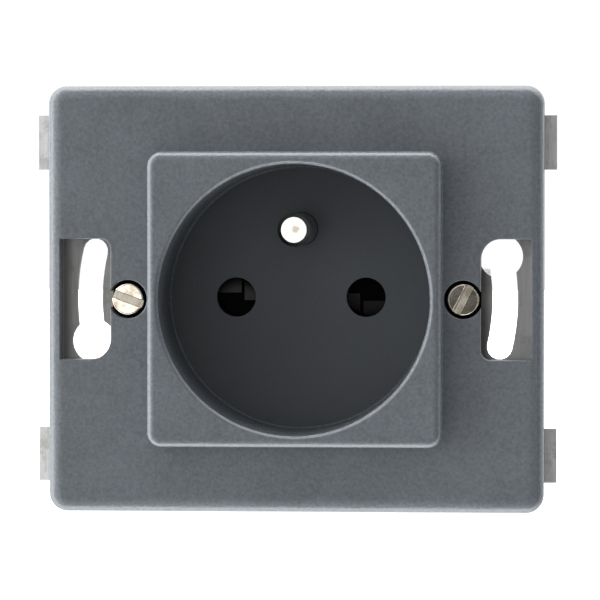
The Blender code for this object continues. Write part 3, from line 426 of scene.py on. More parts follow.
tinted = mixed(grain, 1.0, grain_in["Base Colour"], peaks, "MULTIPLY")
wire(grain, grain_out, Colour=mixed(grain, speck_mask, tinted, grain_in["Speck Colour"]), Height=fine,
     Roughness_Offset=maths(grain, "MULTIPLY", around_zero(grain, cloud), CLOUD_SHEEN))
print("grain group:", len(grain.nodes), "nodes")

# %% [markdown]
# Only the flat faces of the mould were grained. Its edges and side walls are polished, so that
# the moulding comes out of it. A second small group finds them from the piece's own normal:
# they don't face straight forward.

# %% Group: polished edges and walls
EDGE_FACING = (0.985, 0.86)

edges, edges_in, edges_out = new_group("polished_edges", [("Normal", VECTOR, None)], [("Edge", FLOAT)])
facing = maths(edges, "ABSOLUTE", part_of(edges, edges_in["Normal"], "Y"))
wire(edges, edges_out, Edge=smooth_step(edges, facing, *EDGE_FACING))
print("polished where the normal leans from", EDGE_FACING)

# %% [markdown]
# ## Plated and rolled metal
# The steel frame is cut from rolled strip and zinc plated, so its surface has long faint
# streaks and a soft mottling from the passivation. Turned pieces have faint concentric tool
# marks and brown stains instead. Two groups cover them: one reads stretched coordinates, the
# other the distance from the piece's own axis, which a Mapping node has put at zero.

# %% Group: rolled sheet
STREAK_SCALES = (4500.0, 4500.0, 220.0)
MOTTLE_SCALE = 420.0
MOTTLE_REACH = (0.48, 0.68)
MOTTLE_DULLING = 0.12

rolled, rolled_in, rolled_out = new_group(
    "rolled_sheet",
    [("Place", VECTOR, None), ("Base Colour", COLOR, (0.6, 0.6, 0.6, 1.0)),
     ("Tarnish Colour", COLOR, (0.4, 0.38, 0.33, 1.0)), ("Streak", FLOAT, 0.25),
     ("Tarnish", FLOAT, 0.3), ("Roughness", FLOAT, 0.35)],
    [("Colour", COLOR), ("Height", FLOAT), ("Roughness", FLOAT)],
)
along = node(rolled, "ShaderNodeMapping", Vector=rolled_in["Place"], Scale=STREAK_SCALES)
streaks = noise(rolled, along.outputs[0], 1.0, 3.0)
mottle = noise(rolled, rolled_in["Place"], MOTTLE_SCALE, 5.0, 0.65)
streak_shade = maths(rolled, "MULTIPLY_ADD", around_zero(rolled, streaks), rolled_in["Streak"], 1.0)
spots = smooth_step(rolled, mottle, *MOTTLE_REACH)
streaked = mixed(rolled, 1.0, rolled_in["Base Colour"], streak_shade, "MULTIPLY")
spotted = mixed(rolled, maths(rolled, "MULTIPLY", spots, rolled_in["Tarnish"]), streaked,
                rolled_in["Tarnish Colour"])
wire(rolled, rolled_out, Colour=spotted, Height=streaks,
     Roughness=maths(rolled, "MULTIPLY_ADD", spots, MOTTLE_DULLING, rolled_in["Roughness"]))

# %% Group: turned metal
WOBBLE_SCALE = 900.0
WOBBLE_TURN = 3.0
WOBBLE_DULLING = 0.06
STAIN_SCALE = 700.0
STAIN_REACH = (0.42, 0.70)
STAIN_SHARE = 0.8

lathe, lathe_in, lathe_out = new_group(
    "turned_metal",
    [("Place", VECTOR, None), ("Base Colour", COLOR, (0.7, 0.68, 0.6, 1.0)),
     ("Groove Colour", COLOR, (0.4, 0.36, 0.3, 1.0)), ("Pitch", FLOAT, 9000.0),
     ("Groove Contrast", FLOAT, 0.1), ("Roughness", FLOAT, 0.22)],
    [("Colour", COLOR), ("Height", FLOAT), ("Roughness", FLOAT)],
)
from_axis = length_after(lathe, "MULTIPLY", lathe_in["Place"], (1.0, 0.0, 1.0))
wobble = noise(lathe, lathe_in["Place"], WOBBLE_SCALE, 3.0)
phase = maths(lathe, "MULTIPLY_ADD", from_axis, lathe_in["Pitch"],
              maths(lathe, "MULTIPLY", wobble, WOBBLE_TURN))
grooves = maths(lathe, "SINE", phase)
groove_mask = maths(lathe, "MULTIPLY", maths(lathe, "MULTIPLY_ADD", grooves, 0.5, 0.5),
                    lathe_in["Groove Contrast"])
stains = noise(lathe, lathe_in["Place"], STAIN_SCALE, 4.0, 0.6)
stain_mask = smooth_step(lathe, stains, *STAIN_REACH, high=STAIN_SHARE)
grooved = mixed(lathe, maths(lathe, "MAXIMUM", groove_mask, stain_mask), lathe_in["Base Colour"],
                lathe_in["Groove Colour"])
wire(lathe, lathe_out, Colour=grooved, Height=grooves,
     Roughness=maths(lathe, "MULTIPLY_ADD", wobble, WOBBLE_DULLING, lathe_in["Roughness"]))
print("metal groups:", len(rolled.nodes), "and", len(lathe.nodes), "nodes")

# %% [markdown]
# ## The plastics
# Four mouldings, four settings of one recipe. The cover is a bluish mid grey. The floor of the
# well is the same plastic with a finer, smoother skin, and its colour is a darker copy of the
# cover's: a painted shade for the deep well. The housing is a black flame-proof thermoset, and
# the shutter a smooth black one.


# %% Plastic materials
def use_group(tree, group, **inputs):
    """Places a group in a material with its own values."""
    made = node(tree, "ShaderNodeGroup", {"node_tree": group})
    for key, value in inputs.items():
        fill(made, made.inputs[key.replace("_", " ")], value)
    return made


def plastic(name, colour, roughness, grain_size, depth, specks, cloudiness, speck_colour, polish=0.0):
    """Moulded plastic: the grain group feeds colour, roughness and a shallow bump."""
    material, tree, shader = new_material(name, IOR=1.5)
    own = node(tree, "ShaderNodeTexCoord")
    skin = use_group(tree, grain, Place=own.outputs["Object"], Grain_Size=grain_size,
                     Base_Colour=(*colour, 1.0), Speck_Colour=(*speck_colour, 1.0), Specks=specks,
                     Cloudiness=cloudiness)
    worn = use_group(tree, edges, Normal=own.outputs["Normal"])
    smoother = maths(tree, "MULTIPLY_ADD", worn.outputs["Edge"], -polish, roughness)
    wire(tree, shader.inputs, Base_Color=skin.outputs["Colour"],
         Roughness=maths(tree, "ADD", skin.outputs["Roughness Offset"], smoother),
         Normal=bump(tree, skin.outputs["Height"], 0.5, depth))
    return material


cover_grey = plastic("cover_grey_plastic", (0.131, 0.146, 0.163), roughness=0.50, grain_size=2300.0,
                     depth=0.00009, specks=0.12, cloudiness=0.30, speck_colour=(0.25, 0.27, 0.29),
                     polish=0.28)
# Painted shade: a darker copy of the cover's grey for the floor deep in the well.
floor_grey = plastic("floor_grey_plastic", (0.111, 0.121, 0.135), roughness=0.55, grain_size=6000.0,
                     depth=0.00003, specks=0.12, cloudiness=0.22, speck_colour=(0.24, 0.26, 0.28))
housing_black = plastic("housing_black_plastic", (0.028, 0.028, 0.031), roughness=0.42,
                        grain_size=5000.0, depth=0.00005, specks=0.25, cloudiness=0.35,
                        speck_colour=(0.12, 0.12, 0.12))
shutter_black = plastic("shutter_black_plastic", (0.018, 0.017, 0.017), roughness=0.34,
                        grain_size=9000.0, depth=0.00002, specks=0.10, cloudiness=0.20,
                        speck_colour=(0.06, 0.06, 0.06))
print("plastics:", cover_grey.name, floor_grey.name, housing_black.name, shutter_black.name)

# %% [markdown]
# The shutter's recesses are deeper on the real object than the thin disc of the model allows.
# Its colour and sheen fade with the depth, where hardly any light comes back.

# %% Shutter that sinks into the dark
DARK_DEPTHS = (0.75 * MM, 1.3 * MM)
LIGHT_LEFT = 0.06


def sink_into_dark(material, start, end, remains):
    """Takes colour and sheen away between two depths along Y."""
    tree = material.node_tree
    shader = tree.nodes["Principled BSDF"]
    place = node(tree, "ShaderNodeTexCoord").outputs["Object"]
    share = smooth_step(tree, part_of(tree, place, "Y"), start, end, 1.0, remains)
    colour = shader.inputs["Base Color"].links[0].from_socket
    wire(tree, shader.inputs, Base_Color=mixed(tree, 1.0, colour, share, "MULTIPLY"),
         Specular_IOR_Level=maths(tree, "MULTIPLY", share, 0.5))


shutter_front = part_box("shutter")[0][1]
sink_into_dark(shutter_black, shutter_front + DARK_DEPTHS[0], shutter_front + DARK_DEPTHS[1], LIGHT_LEFT)
print("shutter's front, mm:", round(shutter_front / MM, 2))

# %% [markdown]
# ## The metals
# Zinc on the nuts and washers, brass inside, and hardened steel on the claws and the spring.


# %% Sheet metals
SHEET_BUMP = (0.25, 0.00002)


def sheet_metal(name, colour, tarnish, roughness, streak, spots):
    """Rolled sheet: stretched streaks and soft spots in colour, roughness and bump."""
    material, tree, shader = new_material(name, Metallic=1.0)
    place = node(tree, "ShaderNodeTexCoord").outputs["Object"]
    skin = use_group(tree, rolled, Place=place, Base_Colour=(*colour, 1.0),
                     Tarnish_Colour=(*tarnish, 1.0), Roughness=roughness, Streak=streak, Tarnish=spots)
    wire(tree, shader.inputs, Base_Color=skin.outputs["Colour"], Roughness=skin.outputs["Roughness"],
         Normal=bump(tree, skin.outputs["Height"], *SHEET_BUMP))
    return material


zinc = sheet_metal("zinc_plated_sheet", (0.60, 0.60, 0.59), (0.42, 0.41, 0.385), roughness=0.45,
                   streak=0.20, spots=0.45)
brass = sheet_metal("stamped_brass", (0.78, 0.58, 0.26), (0.48, 0.30, 0.14), roughness=0.28,
                    streak=0.20, spots=0.40)
spring_steel = sheet_metal("hardened_steel", (0.36, 0.36, 0.37), (0.20, 0.17, 0.14), roughness=0.33,
                           streak=0.35, spots=0.35)
print("sheet metals:", zinc.name, brass.name, spring_steel.name)

# %% [markdown]
# The frame is the piece of sheet that is seen. Its lugs are matte, and their front faces are
# painted paler, a painted light where they stand in the open. Behind each window it carries a
# painted shadow on the left, cast by the window's wall, and is lighter on the right. In the
# narrow gap round the heads of the claw screws it is painted nearly black, a painted shade.

# %% The frame's zinc
# Painted light: the paler zinc on the lugs' front faces, where they stand in the open.
LIT_LUG_ZINC = ((0.93, 0.925, 0.91), 0.80)
UNSHADED_ZINC = ((0.60, 0.60, 0.59), 0.50)
# Painted shadow: the darker zinc on the left of each window, where its wall casts shade.
SHADED_WINDOW_ZINC = (0.25, 0.245, 0.23)
SPOTTED_ZINC = (0.42, 0.41, 0.39)
LUG_START = (34.4 * MM, 35.2 * MM)
CLAW_X = 24.1 * MM
SCREW_HOLE = 2.75 * MM
WINDOW = (26.6 * MM, 33.9 * MM, 8.65 * MM)
WINDOW_SHADE_FADE = (0.04, 0.24)
# Painted shade: how far and how deep the gap round each claw screw's head is darkened.
GAP_EDGE = 1.12
GAP_LIGHT = 0.02


def frame_metal():
    """Zinc on the frame: painted shadow across each window, painted light on the lugs, painted shade at the
    screws.
    """
    material, tree, shader = new_material("frame_zinc", Metallic=1.0, Anisotropic=0.75)
    own = node(tree, "ShaderNodeTexCoord")
    place = own.outputs["Object"]
    x, z = part_of(tree, place, "X"), part_of(tree, place, "Z")
    aside = maths(tree, "ABSOLUTE", x)
    turned_back = maths(tree, "GREATER_THAN", part_of(tree, own.outputs["Normal"], "Y"), -0.5)

    inner, outer, _ = WINDOW
    apart = inner + outer
    across = maths(tree, "FRACT", maths(tree, "DIVIDE", maths(tree, "ADD", x, outer), apart))
    width = (outer - inner) / apart
    # Painted shadow across each window: darkest at its left wall, fading to the unshaded zinc on the right.
    unshaded_share = smooth_step(tree, across, WINDOW_SHADE_FADE[0] * width, WINDOW_SHADE_FADE[1] * width)
    covered = mixed(tree, maths(tree, "MAXIMUM", unshaded_share, turned_back), SHADED_WINDOW_ZINC, UNSHADED_ZINC[0])

    # Painted light: only the lugs' front faces get the paler zinc; their rougher finish is real.
    outside = smooth_step(tree, aside, *LUG_START)
    lit_lug_front = maths(tree, "MULTIPLY", outside, maths(tree, "SUBTRACT", 1.0, turned_back))
    tone = mixed(tree, lit_lug_front, covered, LIT_LUG_ZINC[0])
    rough = maths(tree, "MULTIPLY_ADD", lit_lug_front, LIT_LUG_ZINC[1] - UNSHADED_ZINC[1], UNSHADED_ZINC[1])
    skin = use_group(tree, rolled, Place=place, Base_Colour=tone, Tarnish_Colour=(*SPOTTED_ZINC, 1.0),
                     Roughness=rough, Streak=0.35, Tarnish=0.35)

    from_screw = maths(tree, "SUBTRACT", aside, CLAW_X)
    radius = maths(tree, "SQRT", maths(tree, "ADD", maths(tree, "MULTIPLY", from_screw, from_screw),
                                       maths(tree, "MULTIPLY", z, z)))
    # Painted shade: nearly black in the gap round each claw screw's head.
    painted_gap_shade = smooth_step(tree, radius, SCREW_HOLE, SCREW_HOLE * GAP_EDGE, GAP_LIGHT, 1.0)
    in_window = maths(tree, "GREATER_THAN", aside, inner)
    colour = mixed(tree, 1.0, skin.outputs["Colour"], maths(tree, "MAXIMUM", painted_gap_shade, in_window), "MULTIPLY")
    grain_way = node(tree, "ShaderNodeTangent", {"direction_type": "RADIAL", "axis": "Z"})
    wire(tree, shader.inputs, Base_Color=colour, Roughness=skin.outputs["Roughness"],
         Normal=bump(tree, skin.outputs["Height"], *SHEET_BUMP), Tangent=grain_way.outputs[0])
    return material


# %% [markdown]
# Screws and earth pin are nickel plated. The tool marks need the piece's own axis, so each
# turned piece has its material with a Mapping node that moves that axis to zero. The slot of a
# screw is sawn and rougher than its head. The earth pin has a brown mark beside the middle of
# its tip, where the bar was parted off. Behind the tip its chamfer and shank are painted darker,
# a painted shade for the dark well that they mirror.


# %% Nickel on the turned pieces
GROOVE_PITCH = 16000.0
GROOVE_DEPTH = 0.0000012
SLOT_SAWN = (0.25 * MM, 0.45 * MM, 0.18)
# Painted shade behind the pin's tip: where it starts, where it is full, and the share of colour left.
PIN_PAINTED_SHADE = (0.02 * MM, 0.12 * MM, 0.30)
MARK_ASIDE = (0.27 * MM, 0.10 * MM)
MARK_RADIUS = 0.52 * MM
MARK_RAGGED = (2600.0, 0.5 * MM)
MARK_STRENGTH = 0.75
MARK_BROWN = (0.36, 0.31, 0.22)


def turned_metal(name, colour, groove, roughness, centre, contrast):
    """Turned metal: faint rings round the piece's own axis and stains in colour, roughness and bump."""
    material, tree, shader = new_material(name, Metallic=1.0)
    place = node(tree, "ShaderNodeTexCoord").outputs["Object"]
    moved = node(tree, "ShaderNodeMapping", Vector=place, Location=(-centre[0], 0.0, -centre[1]))
    skin = use_group(tree, lathe, Place=moved.outputs[0], Base_Colour=(*colour, 1.0),
                     Groove_Colour=(*groove, 1.0), Roughness=roughness, Pitch=GROOVE_PITCH,
                     Groove_Contrast=contrast)
    wire(tree, shader.inputs, Base_Color=skin.outputs["Colour"], Roughness=skin.outputs["Roughness"],
         Normal=bump(tree, skin.outputs["Height"], contrast, GROOVE_DEPTH))
    return material, tree, shader, moved.outputs[0]


def screw_nickel(name, centre, top, inwards):
    """Nickel on a screw: a smooth head, and a sawn, rougher slot below its top."""
    material, tree, shader, place = turned_metal(
        name, (0.86, 0.80, 0.69), (0.44, 0.36, 0.26), roughness=0.06, centre=centre, contrast=0.10)
    depth = maths(tree, "MULTIPLY", maths(tree, "SUBTRACT", part_of(tree, place, "Y"), top), inwards)
    start, end, rougher = SLOT_SAWN
    sawn = smooth_step(tree, depth, start, end, 0.0, rougher)
    smooth = shader.inputs["Roughness"].links[0].from_socket
    wire(tree, shader.inputs, Roughness=maths(tree, "ADD", smooth, sawn))
    return material


def pin_nickel(name, centre, tip):
    """Nickel on the earth pin: a ragged brown mark on its tip, and painted shade on its chamfer and shank.
    """
    material, tree, shader, place = turned_metal(
        name, (0.85, 0.83, 0.76), (0.70, 0.67, 0.58), roughness=0.04, centre=centre, contrast=0.03)
    away = length_after(tree, "SUBTRACT", place, (MARK_ASIDE[0], tip, MARK_ASIDE[1]))
    scale, ragged = MARK_RAGGED
    reach = maths(tree, "MULTIPLY_ADD", noise(tree, place, scale, 3.0), ragged, away)
    mark = smooth_step(tree, reach, MARK_RADIUS, MARK_RADIUS * 2.0, MARK_STRENGTH, 0.0)
    clean = shader.inputs["Base Color"].links[0].from_socket
    # Painted shade: darker nickel from just behind the tip, for the dark well the chamfer and shank mirror.
    start, end, remains = PIN_PAINTED_SHADE
    painted_shade = smooth_step(tree, part_of(tree, place, "Y"), tip + start, tip + end, 1.0, remains)
    marked = mixed(tree, mark, clean, MARK_BROWN)
    wire(tree, shader.inputs, Base_Color=mixed(tree, 1.0, marked, painted_shade, "MULTIPLY"))
    return material


# %% [markdown]
# ## Which finish each node gets
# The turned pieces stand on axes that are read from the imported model, so their tool marks are
# always concentric with them.


# %% Finish of every node
def middle(name):
    """Centre of a node in X and Z, from its box."""
    low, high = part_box(name)
    return ((low[0] + high[0]) / 2.0, (low[2] + high[2]) / 2.0)


finish_of = {"front_cover": cover_grey, "contact_cover": floor_grey, "rear_housing": housing_black,
             "shutter": shutter_black, "support_frame": frame_metal()}
finish_of.update(dict.fromkeys(("phase_contact", "neutral_contact", "earth_strap"), brass))
finish_of.update(dict.fromkeys(("shutter_spring", "left_claw", "right_claw"), spring_steel))
for name in sorted(node_bodies):
    low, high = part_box(name)
    if name.endswith("_claw_screw"):
        finish_of[name] = screw_nickel("nickel_of_" + name, middle(name), low[1], 1.0)
    elif name.endswith("_screw") or name.startswith("assembly_screw"):
        finish_of[name] = screw_nickel("nickel_of_" + name, middle(name), high[1], -1.0)
    elif name == "earth_pin":
        finish_of[name] = pin_nickel("nickel_of_pin", middle(name), low[1])
    elif name.endswith(("_washer", "_nut")):
        finish_of[name] = zinc
print("finishes for", len(finish_of), "nodes")

# %% [markdown]
# ## The cover
# On the real object the plate, the raised square and the well's wall are one moulding. One
# surface can be all of it: rings with the same number of points, each at its own depth, from
# the foot of the well's wall up to its rounded rim, across the square, over its rounded edge
# and down to the plate, out to the plate's edge and back behind it. Circles and rounded
# rectangles join without a fold because each circle uses the directions of the square's points.

# %% Sizes of the cover, in metres
RIM_RADIUS = 19.46 * MM
WALL_FOOT_RADIUS = 19.17 * MM
WALL_OUTER_RADIUS = 20.77 * MM
WALL_FOOT = 9.1 * MM
RIM_CHAMFER = 0.27 * MM
RIM_ROUNDS = (0.40 * MM, 0.10 * MM)
FOOT_LIP = 0.34 * MM
FLOOR_FACE = 7.0 * MM
LIP_GAP = 0.04 * MM
SQUARE_HALF = 21.0 * MM
SQUARE_CORNER = 1.9 * MM
SQUARE_CHAMFER = 0.24 * MM
CHAMFER_ROUNDS = (1.05 * MM, 0.10 * MM)
SQUARE_FACE = -8.0 * MM
PLATE_FACE = -5.0 * MM
PLATE_REAR = -1.5 * MM
PLATE_HALF = (35.65 * MM, 30.6 * MM)
PLATE_CORNER = 2.6 * MM
PLATE_ROUND = (2.1 * MM, 1.6 * MM)
FOOT_FILLET = 0.3 * MM
ROUND_STEPS = 8

square_directions = np.arctan2(*square_ring(SQUARE_HALF, SQUARE_HALF, SQUARE_CORNER).T[::-1])


def circle_ring(radius):
    """A circle that uses the directions of the square's points: radius * (cos a, sin a)."""
    return radius * np.stack([np.cos(square_directions), np.sin(square_directions)], axis=-1)


def at_level(outline, y):
    """Puts an XZ outline at one depth."""
    return np.stack([outline[:, 0], np.full(len(outline), y), outline[:, 1]], axis=-1)


def rounded_turn(steps=ROUND_STEPS):
    """Shares of a quarter round: (1 - cos a, sin a) for a from 0 to 90 degrees."""
    a = np.linspace(0.0, math.pi / 2.0, steps + 1)
    return list(zip(1.0 - np.cos(a), np.sin(a)))


def chamfer_profile(width, face_round, side_round, steps=5):
    """(inset, depth) pairs: an arc from the face to 45 degrees, a flat this wide, an arc to the side."""
    turn = np.radians(np.linspace(0.0, 45.0, steps + 1))
    rise = math.sin(turn[-1])
    drop = 1.0 - math.cos(turn[-1])
    reach = face_round * rise + width + side_round * drop
    first = np.stack([reach - face_round * np.sin(turn), face_round * (1.0 - np.cos(turn))], axis=-1)
    corner = first[-1] + (-width, width)
    back = turn[::-1]
    last = np.stack([side_round * (1.0 - np.cos(back)),
                     corner[1] + side_round * (rise - np.sin(back))], axis=-1)
    return np.concatenate([first, last])


print("rim's profile:", len(chamfer_profile(RIM_CHAMFER, *RIM_ROUNDS)), "points")

# %% [markdown]
# The rings start at the foot of the wall. A lip there rounds over towards the floor, and the
# rim has a chamfer between two rounds, like the square's edge.

# %% The cover's rings
lip_level = FLOOR_FACE - LIP_GAP
rings = [at_level(circle_ring(WALL_FOOT_RADIUS), WALL_FOOT),
         at_level(circle_ring(WALL_FOOT_RADIUS), lip_level)]
for back, out in rounded_turn(5):
    lip_radius = WALL_FOOT_RADIUS - FOOT_LIP * (1.0 - back)
    rings.append(at_level(circle_ring(lip_radius), lip_level - FOOT_LIP * out))
for inset, depth in chamfer_profile(RIM_CHAMFER, *RIM_ROUNDS)[::-1]:
    rings.append(at_level(circle_ring(RIM_RADIUS + inset), SQUARE_FACE + depth))
for inset, depth in chamfer_profile(SQUARE_CHAMFER, *CHAMFER_ROUNDS):
    half = SQUARE_HALF - inset
    rings.append(at_level(square_ring(half, half, SQUARE_CORNER - inset), SQUARE_FACE + depth))
for back, out in rounded_turn(4):
    half = SQUARE_HALF + FOOT_FILLET * back
    rings.append(at_level(square_ring(half, half, SQUARE_CORNER - SQUARE_HALF + half),
                          PLATE_FACE - FOOT_FILLET * (1.0 - out)))
for back, out in rounded_turn():
    inset = PLATE_ROUND[0] * (1.0 - out)
    rings.append(at_level(square_ring(PLATE_HALF[0] - inset, PLATE_HALF[1] - inset, PLATE_CORNER - inset),
                          PLATE_FACE + PLATE_ROUND[1] * back))
rings.append(at_level(square_ring(*PLATE_HALF, PLATE_CORNER), PLATE_REAR))
rings.append(at_level(circle_ring(WALL_OUTER_RADIUS), PLATE_REAR))
rings.append(at_level(circle_ring(WALL_OUTER_RADIUS), WALL_FOOT))
cover = surface("cover_moulding", np.array(rings), close_rows=True)
print("cover moulding:", len(cover.data.polygons), "faces before cutting")

# %% [markdown]
# Four bosses for the assembly screws and four hooks stand behind the plate. The windows over
# the keyhole slots have sharp outer corners and rounded inner ones, of which the wider follows
# the keyhole's round end. Each screw hole just breaks into its window, as in the photograph. The
# cutter of every opening flares at its front end, which rounds the opening's edge.

# %% Bosses, hooks, windows and screw holes
WINDOW_CORNER = 1.4 * MM
WINDOW_BEND = 2.9 * MM
MOUTH_ROUND = 0.20 * MM
ASSEMBLY_PLACE = 17.7 * MM
BOSS_RADIUS = 2.3 * MM
BOSS_BORE = 1.5 * MM
BORE_START = 3.0 * MM
HOOK_PLACES = (-9.0 * MM, 9.0 * MM)
HOOK_HALF_WIDTH = 2.5 * MM
HOOK_SECTION = MM * np.array(
    [(-3.15, 19.35), (2.1, 19.35), (2.1, 21.0), (1.2, 22.3), (0.3, 22.3), (0.3, 21.0), (-3.15, 21.0)])

corners = [(sx * ASSEMBLY_PLACE, sz * ASSEMBLY_PLACE) for sx in (-1, 1) for sz in (-1, 1)]
additions = []
for number, corner in enumerate(corners):
    additions.append(cylinder(f"boss_{number}", BOSS_RADIUS, (PLATE_REAR - MM, WALL_FOOT), corner, 40))
for number, place in enumerate(HOOK_PLACES):
    for side in (1, -1):
        section = HOOK_SECTION * (1, side)
        additions.append(prism(f"hook_{number}_{side}", section, place - HOOK_HALF_WIDTH,
                               place + HOOK_HALF_WIDTH, "X"))
carve(cover, additions, "UNION")

mouth = [(MOUTH_ROUND, PLATE_FACE - MM)]
mouth += [(MOUTH_ROUND * (1.0 - out), PLATE_FACE + MOUTH_ROUND * back) for back, out in rounded_turn(4)]
mouth.append((0.0, PLATE_REAR + MM))
inner, outer, tall = WINDOW


def window_outline(wider):
    """The window drawn wider on every side; its two rounded corners keep their centres."""
    small = arc((inner + WINDOW_CORNER, -tall + WINDOW_CORNER), WINDOW_CORNER + wider, 180.0, 270.0, 12)
    wide = arc((inner + WINDOW_BEND, tall - WINDOW_BEND), WINDOW_BEND + wider, 90.0, 180.0, 20)
    return np.concatenate([small, [(outer + wider, -tall - wider), (outer + wider, tall + wider)], wide])


openings = []
for side, turn_round in (("right", np.asarray), ("left", half_turned)):
    levels = [at_level(turn_round(window_outline(wider)), y) for wider, y in mouth]
    openings.append(surface(f"window_{side}", np.array(levels), caps=True))
for side in (-1, 1):
    profile = [(0.0, mouth[0][1])] + [(SCREW_HOLE + wider, y) for wider, y in mouth] + [(0.0, mouth[-1][1])]
    openings.append(turned(f"screw_hole_{side}", profile, (side * CLAW_X, 0.0), 72))
for number, corner in enumerate(corners):
    openings.append(cylinder(f"bore_{number}", BOSS_BORE, (BORE_START, WALL_FOOT + MM), corner, 32))
carve(cover, openings)
soften(cover, 0.10 * MM, 50.0)
dress(cover, "front_cover")
print("cover moulding:", len(cover.data.polygons), "faces")

# %% [markdown]
# ## The well's floor and the other flat or folded pieces
# The floor, the housing, the steel frame, the contacts and the claws have the right shape in
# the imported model. They get welded copies with edges softened by what their making leaves:
# wide on mouldings, narrow on stampings.

# %% Finished copies
EDGE_WIDTHS = [
    (0.20 * MM, ("rear_housing",)),
    (0.08 * MM, ("phase_contact", "neutral_contact", "earth_strap", "left_claw", "right_claw")),
    (0.10 * MM, ("left_claw_nut", "right_claw_nut")),
    (0.12 * MM, ("phase_terminal_washer", "neutral_terminal_washer", "earth_terminal_washer")),
]
for width, names in EDGE_WIDTHS:
    for name in names:
        finished_copy(name, width)
print("finished copies:", sum(len(names) for _, names in EDGE_WIDTHS))

# %% [markdown]
# The round ends of the frame's keyholes are 0.2 mm wider on the real object than in the packed
# model, so the frame's copy gets one more round cut at each.

# %% Frame with wider keyholes
KEYHOLE_PLACE = (29.4 * MM, 6.15 * MM)
KEYHOLE_RADIUS = 3.15 * MM

frame_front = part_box("support_frame")[0][1]
cut_ends = (frame_front - MM, frame_front + 2.0 * MM)
discs = [cylinder("keyhole_right", KEYHOLE_RADIUS, cut_ends, KEYHOLE_PLACE, 64),
         cylinder("keyhole_left", KEYHOLE_RADIUS, cut_ends, half_turned(KEYHOLE_PLACE), 64)]
finished_copy("support_frame", 0.10 * MM, cutters=discs)
print("keyholes:", len(discs))

# %% [markdown]
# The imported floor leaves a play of 0.3 mm round the earth pin, where the real one fits tightly.
# A thin ring closes it, so no bright collar shows through.

# %% Floor with a tight hole for the earth pin
PIN_PLACE = (0.0, 10.0 * MM)
PIN_RADIUS = 2.4 * MM
PIN_PLAY = 0.04 * MM
RING_RADIUS = 3.0 * MM
RING_ENDS = (FLOOR_FACE, FLOOR_FACE + 1.4 * MM)

ring_profile = [(PIN_RADIUS + PIN_PLAY, RING_ENDS[0]), (RING_RADIUS, RING_ENDS[0]),
                (RING_RADIUS, RING_ENDS[1]), (PIN_RADIUS + PIN_PLAY, RING_ENDS[1])]
ring = turned("pin_ring", ring_profile, PIN_PLACE, 56)
finished_copy("contact_cover", 0.12 * MM, additions=[ring])
print("hole round the pin, radius in mm:", round((PIN_RADIUS + PIN_PLAY) / MM, 2))

# %% [markdown]
# ## The shutter
# Through each pin hole one looks at the end of a shutter leaf. Only its upper part is a ramp
# that a pin slides on; the rest is a deep recess, split by a narrow groove, that is nearly
# black. The other leaf is the same one turned half round.

# %% Shutter with its recesses
LEAF_PLACE = -9.5 * MM
RECESS_REACH = 3.6 * MM
RECESSES = MM * np.array([(-3.6, 0.6, 0.6), (0.95, 3.6, -0.5), (0.55, 1.0, 3.6)])
RECESS_DEPTH = 1.5 * MM

recess_tools = []
for number, (low, high, top) in enumerate(RECESSES):
    outline = np.array([(low, -RECESS_REACH), (high, -RECESS_REACH), (high, top), (low, top)])
    outline[:, 0] += LEAF_PLACE
    for side, shape in (("left", outline), ("right", half_turned(outline))):
        recess_tools.append(prism(f"recess_{number}_{side}", shape, shutter_front - MM,
                                  shutter_front + RECESS_DEPTH))
finished_copy("shutter", 0.06 * MM, cutters=recess_tools)
print("shutter recesses:", len(recess_tools))

# %% [markdown]
# ## The earth pin
# A turned pin with a chamfered tip. The flat tip mirrors the light near the lens and is the
# brightest spot of the picture, with a small brown mark where the bar was parted off. The
# chamfer and the shank mirror the dark well. A narrow ring inside the tip's edge keeps the
# shading of the flat tip level right up to that edge.

# %% Earth pin
PIN_TIP = -7.0 * MM
PIN_CHAMFER = 0.58 * MM
PIN_TAPER = 1.2 * PIN_CHAMFER + 0.1 * MM
PIN_SHOULDER = 0.2 * MM
PIN_COLLAR = (11.5 * MM, 12.5 * MM, 3.4 * MM)
PIN_STEM = (1.6 * MM, 13.9 * MM, 14.9 * MM)
RIVET_ROUND = 0.5 * MM
FLAT_RING = 0.03 * MM

front, rear, collar = PIN_COLLAR
stem, rivet, rivet_end = PIN_STEM
pin_profile = np.concatenate([
    [(0.0, PIN_TIP), (PIN_RADIUS - PIN_CHAMFER - FLAT_RING, PIN_TIP), (PIN_RADIUS - PIN_CHAMFER, PIN_TIP)],
    arc((PIN_RADIUS - PIN_SHOULDER, PIN_TIP + PIN_TAPER), PIN_SHOULDER, 315.0, 360.0, 3),
    [(PIN_RADIUS, front), (collar, front), (collar, rear), (stem, rear), (stem, rivet),
     (PIN_RADIUS, rivet)],
    arc((PIN_RADIUS - RIVET_ROUND, rivet_end - RIVET_ROUND), RIVET_ROUND, 0.0, 90.0, 5),
    [(0.0, rivet_end)],
])
earth_pin = turned("earth_pin_turned", pin_profile, PIN_PLACE, 96)
soften(earth_pin, 0.03 * MM, 60.0)
dress(earth_pin, "earth_pin")
print("earth pin:", len(pin_profile), "points in its profile")

# %% [markdown]
# ## Screws with real threads
# Nine slotted screws are seen from one side or another. A thread is the same formula for all:
# the radius falls and rises with the phase y / pitch - a / 360 degrees. The head is a second
# turned surface over the shank, and its slot is cut by a block whose mouth widens at 45 degrees:
# the saw's burr is brushed off there, and these two thin edges shine. The thread's depth is a
# share of its pitch, and the neck and the slot's reach are shares of the radii. Half way out,
# the head has dropped by a quarter of its dome.


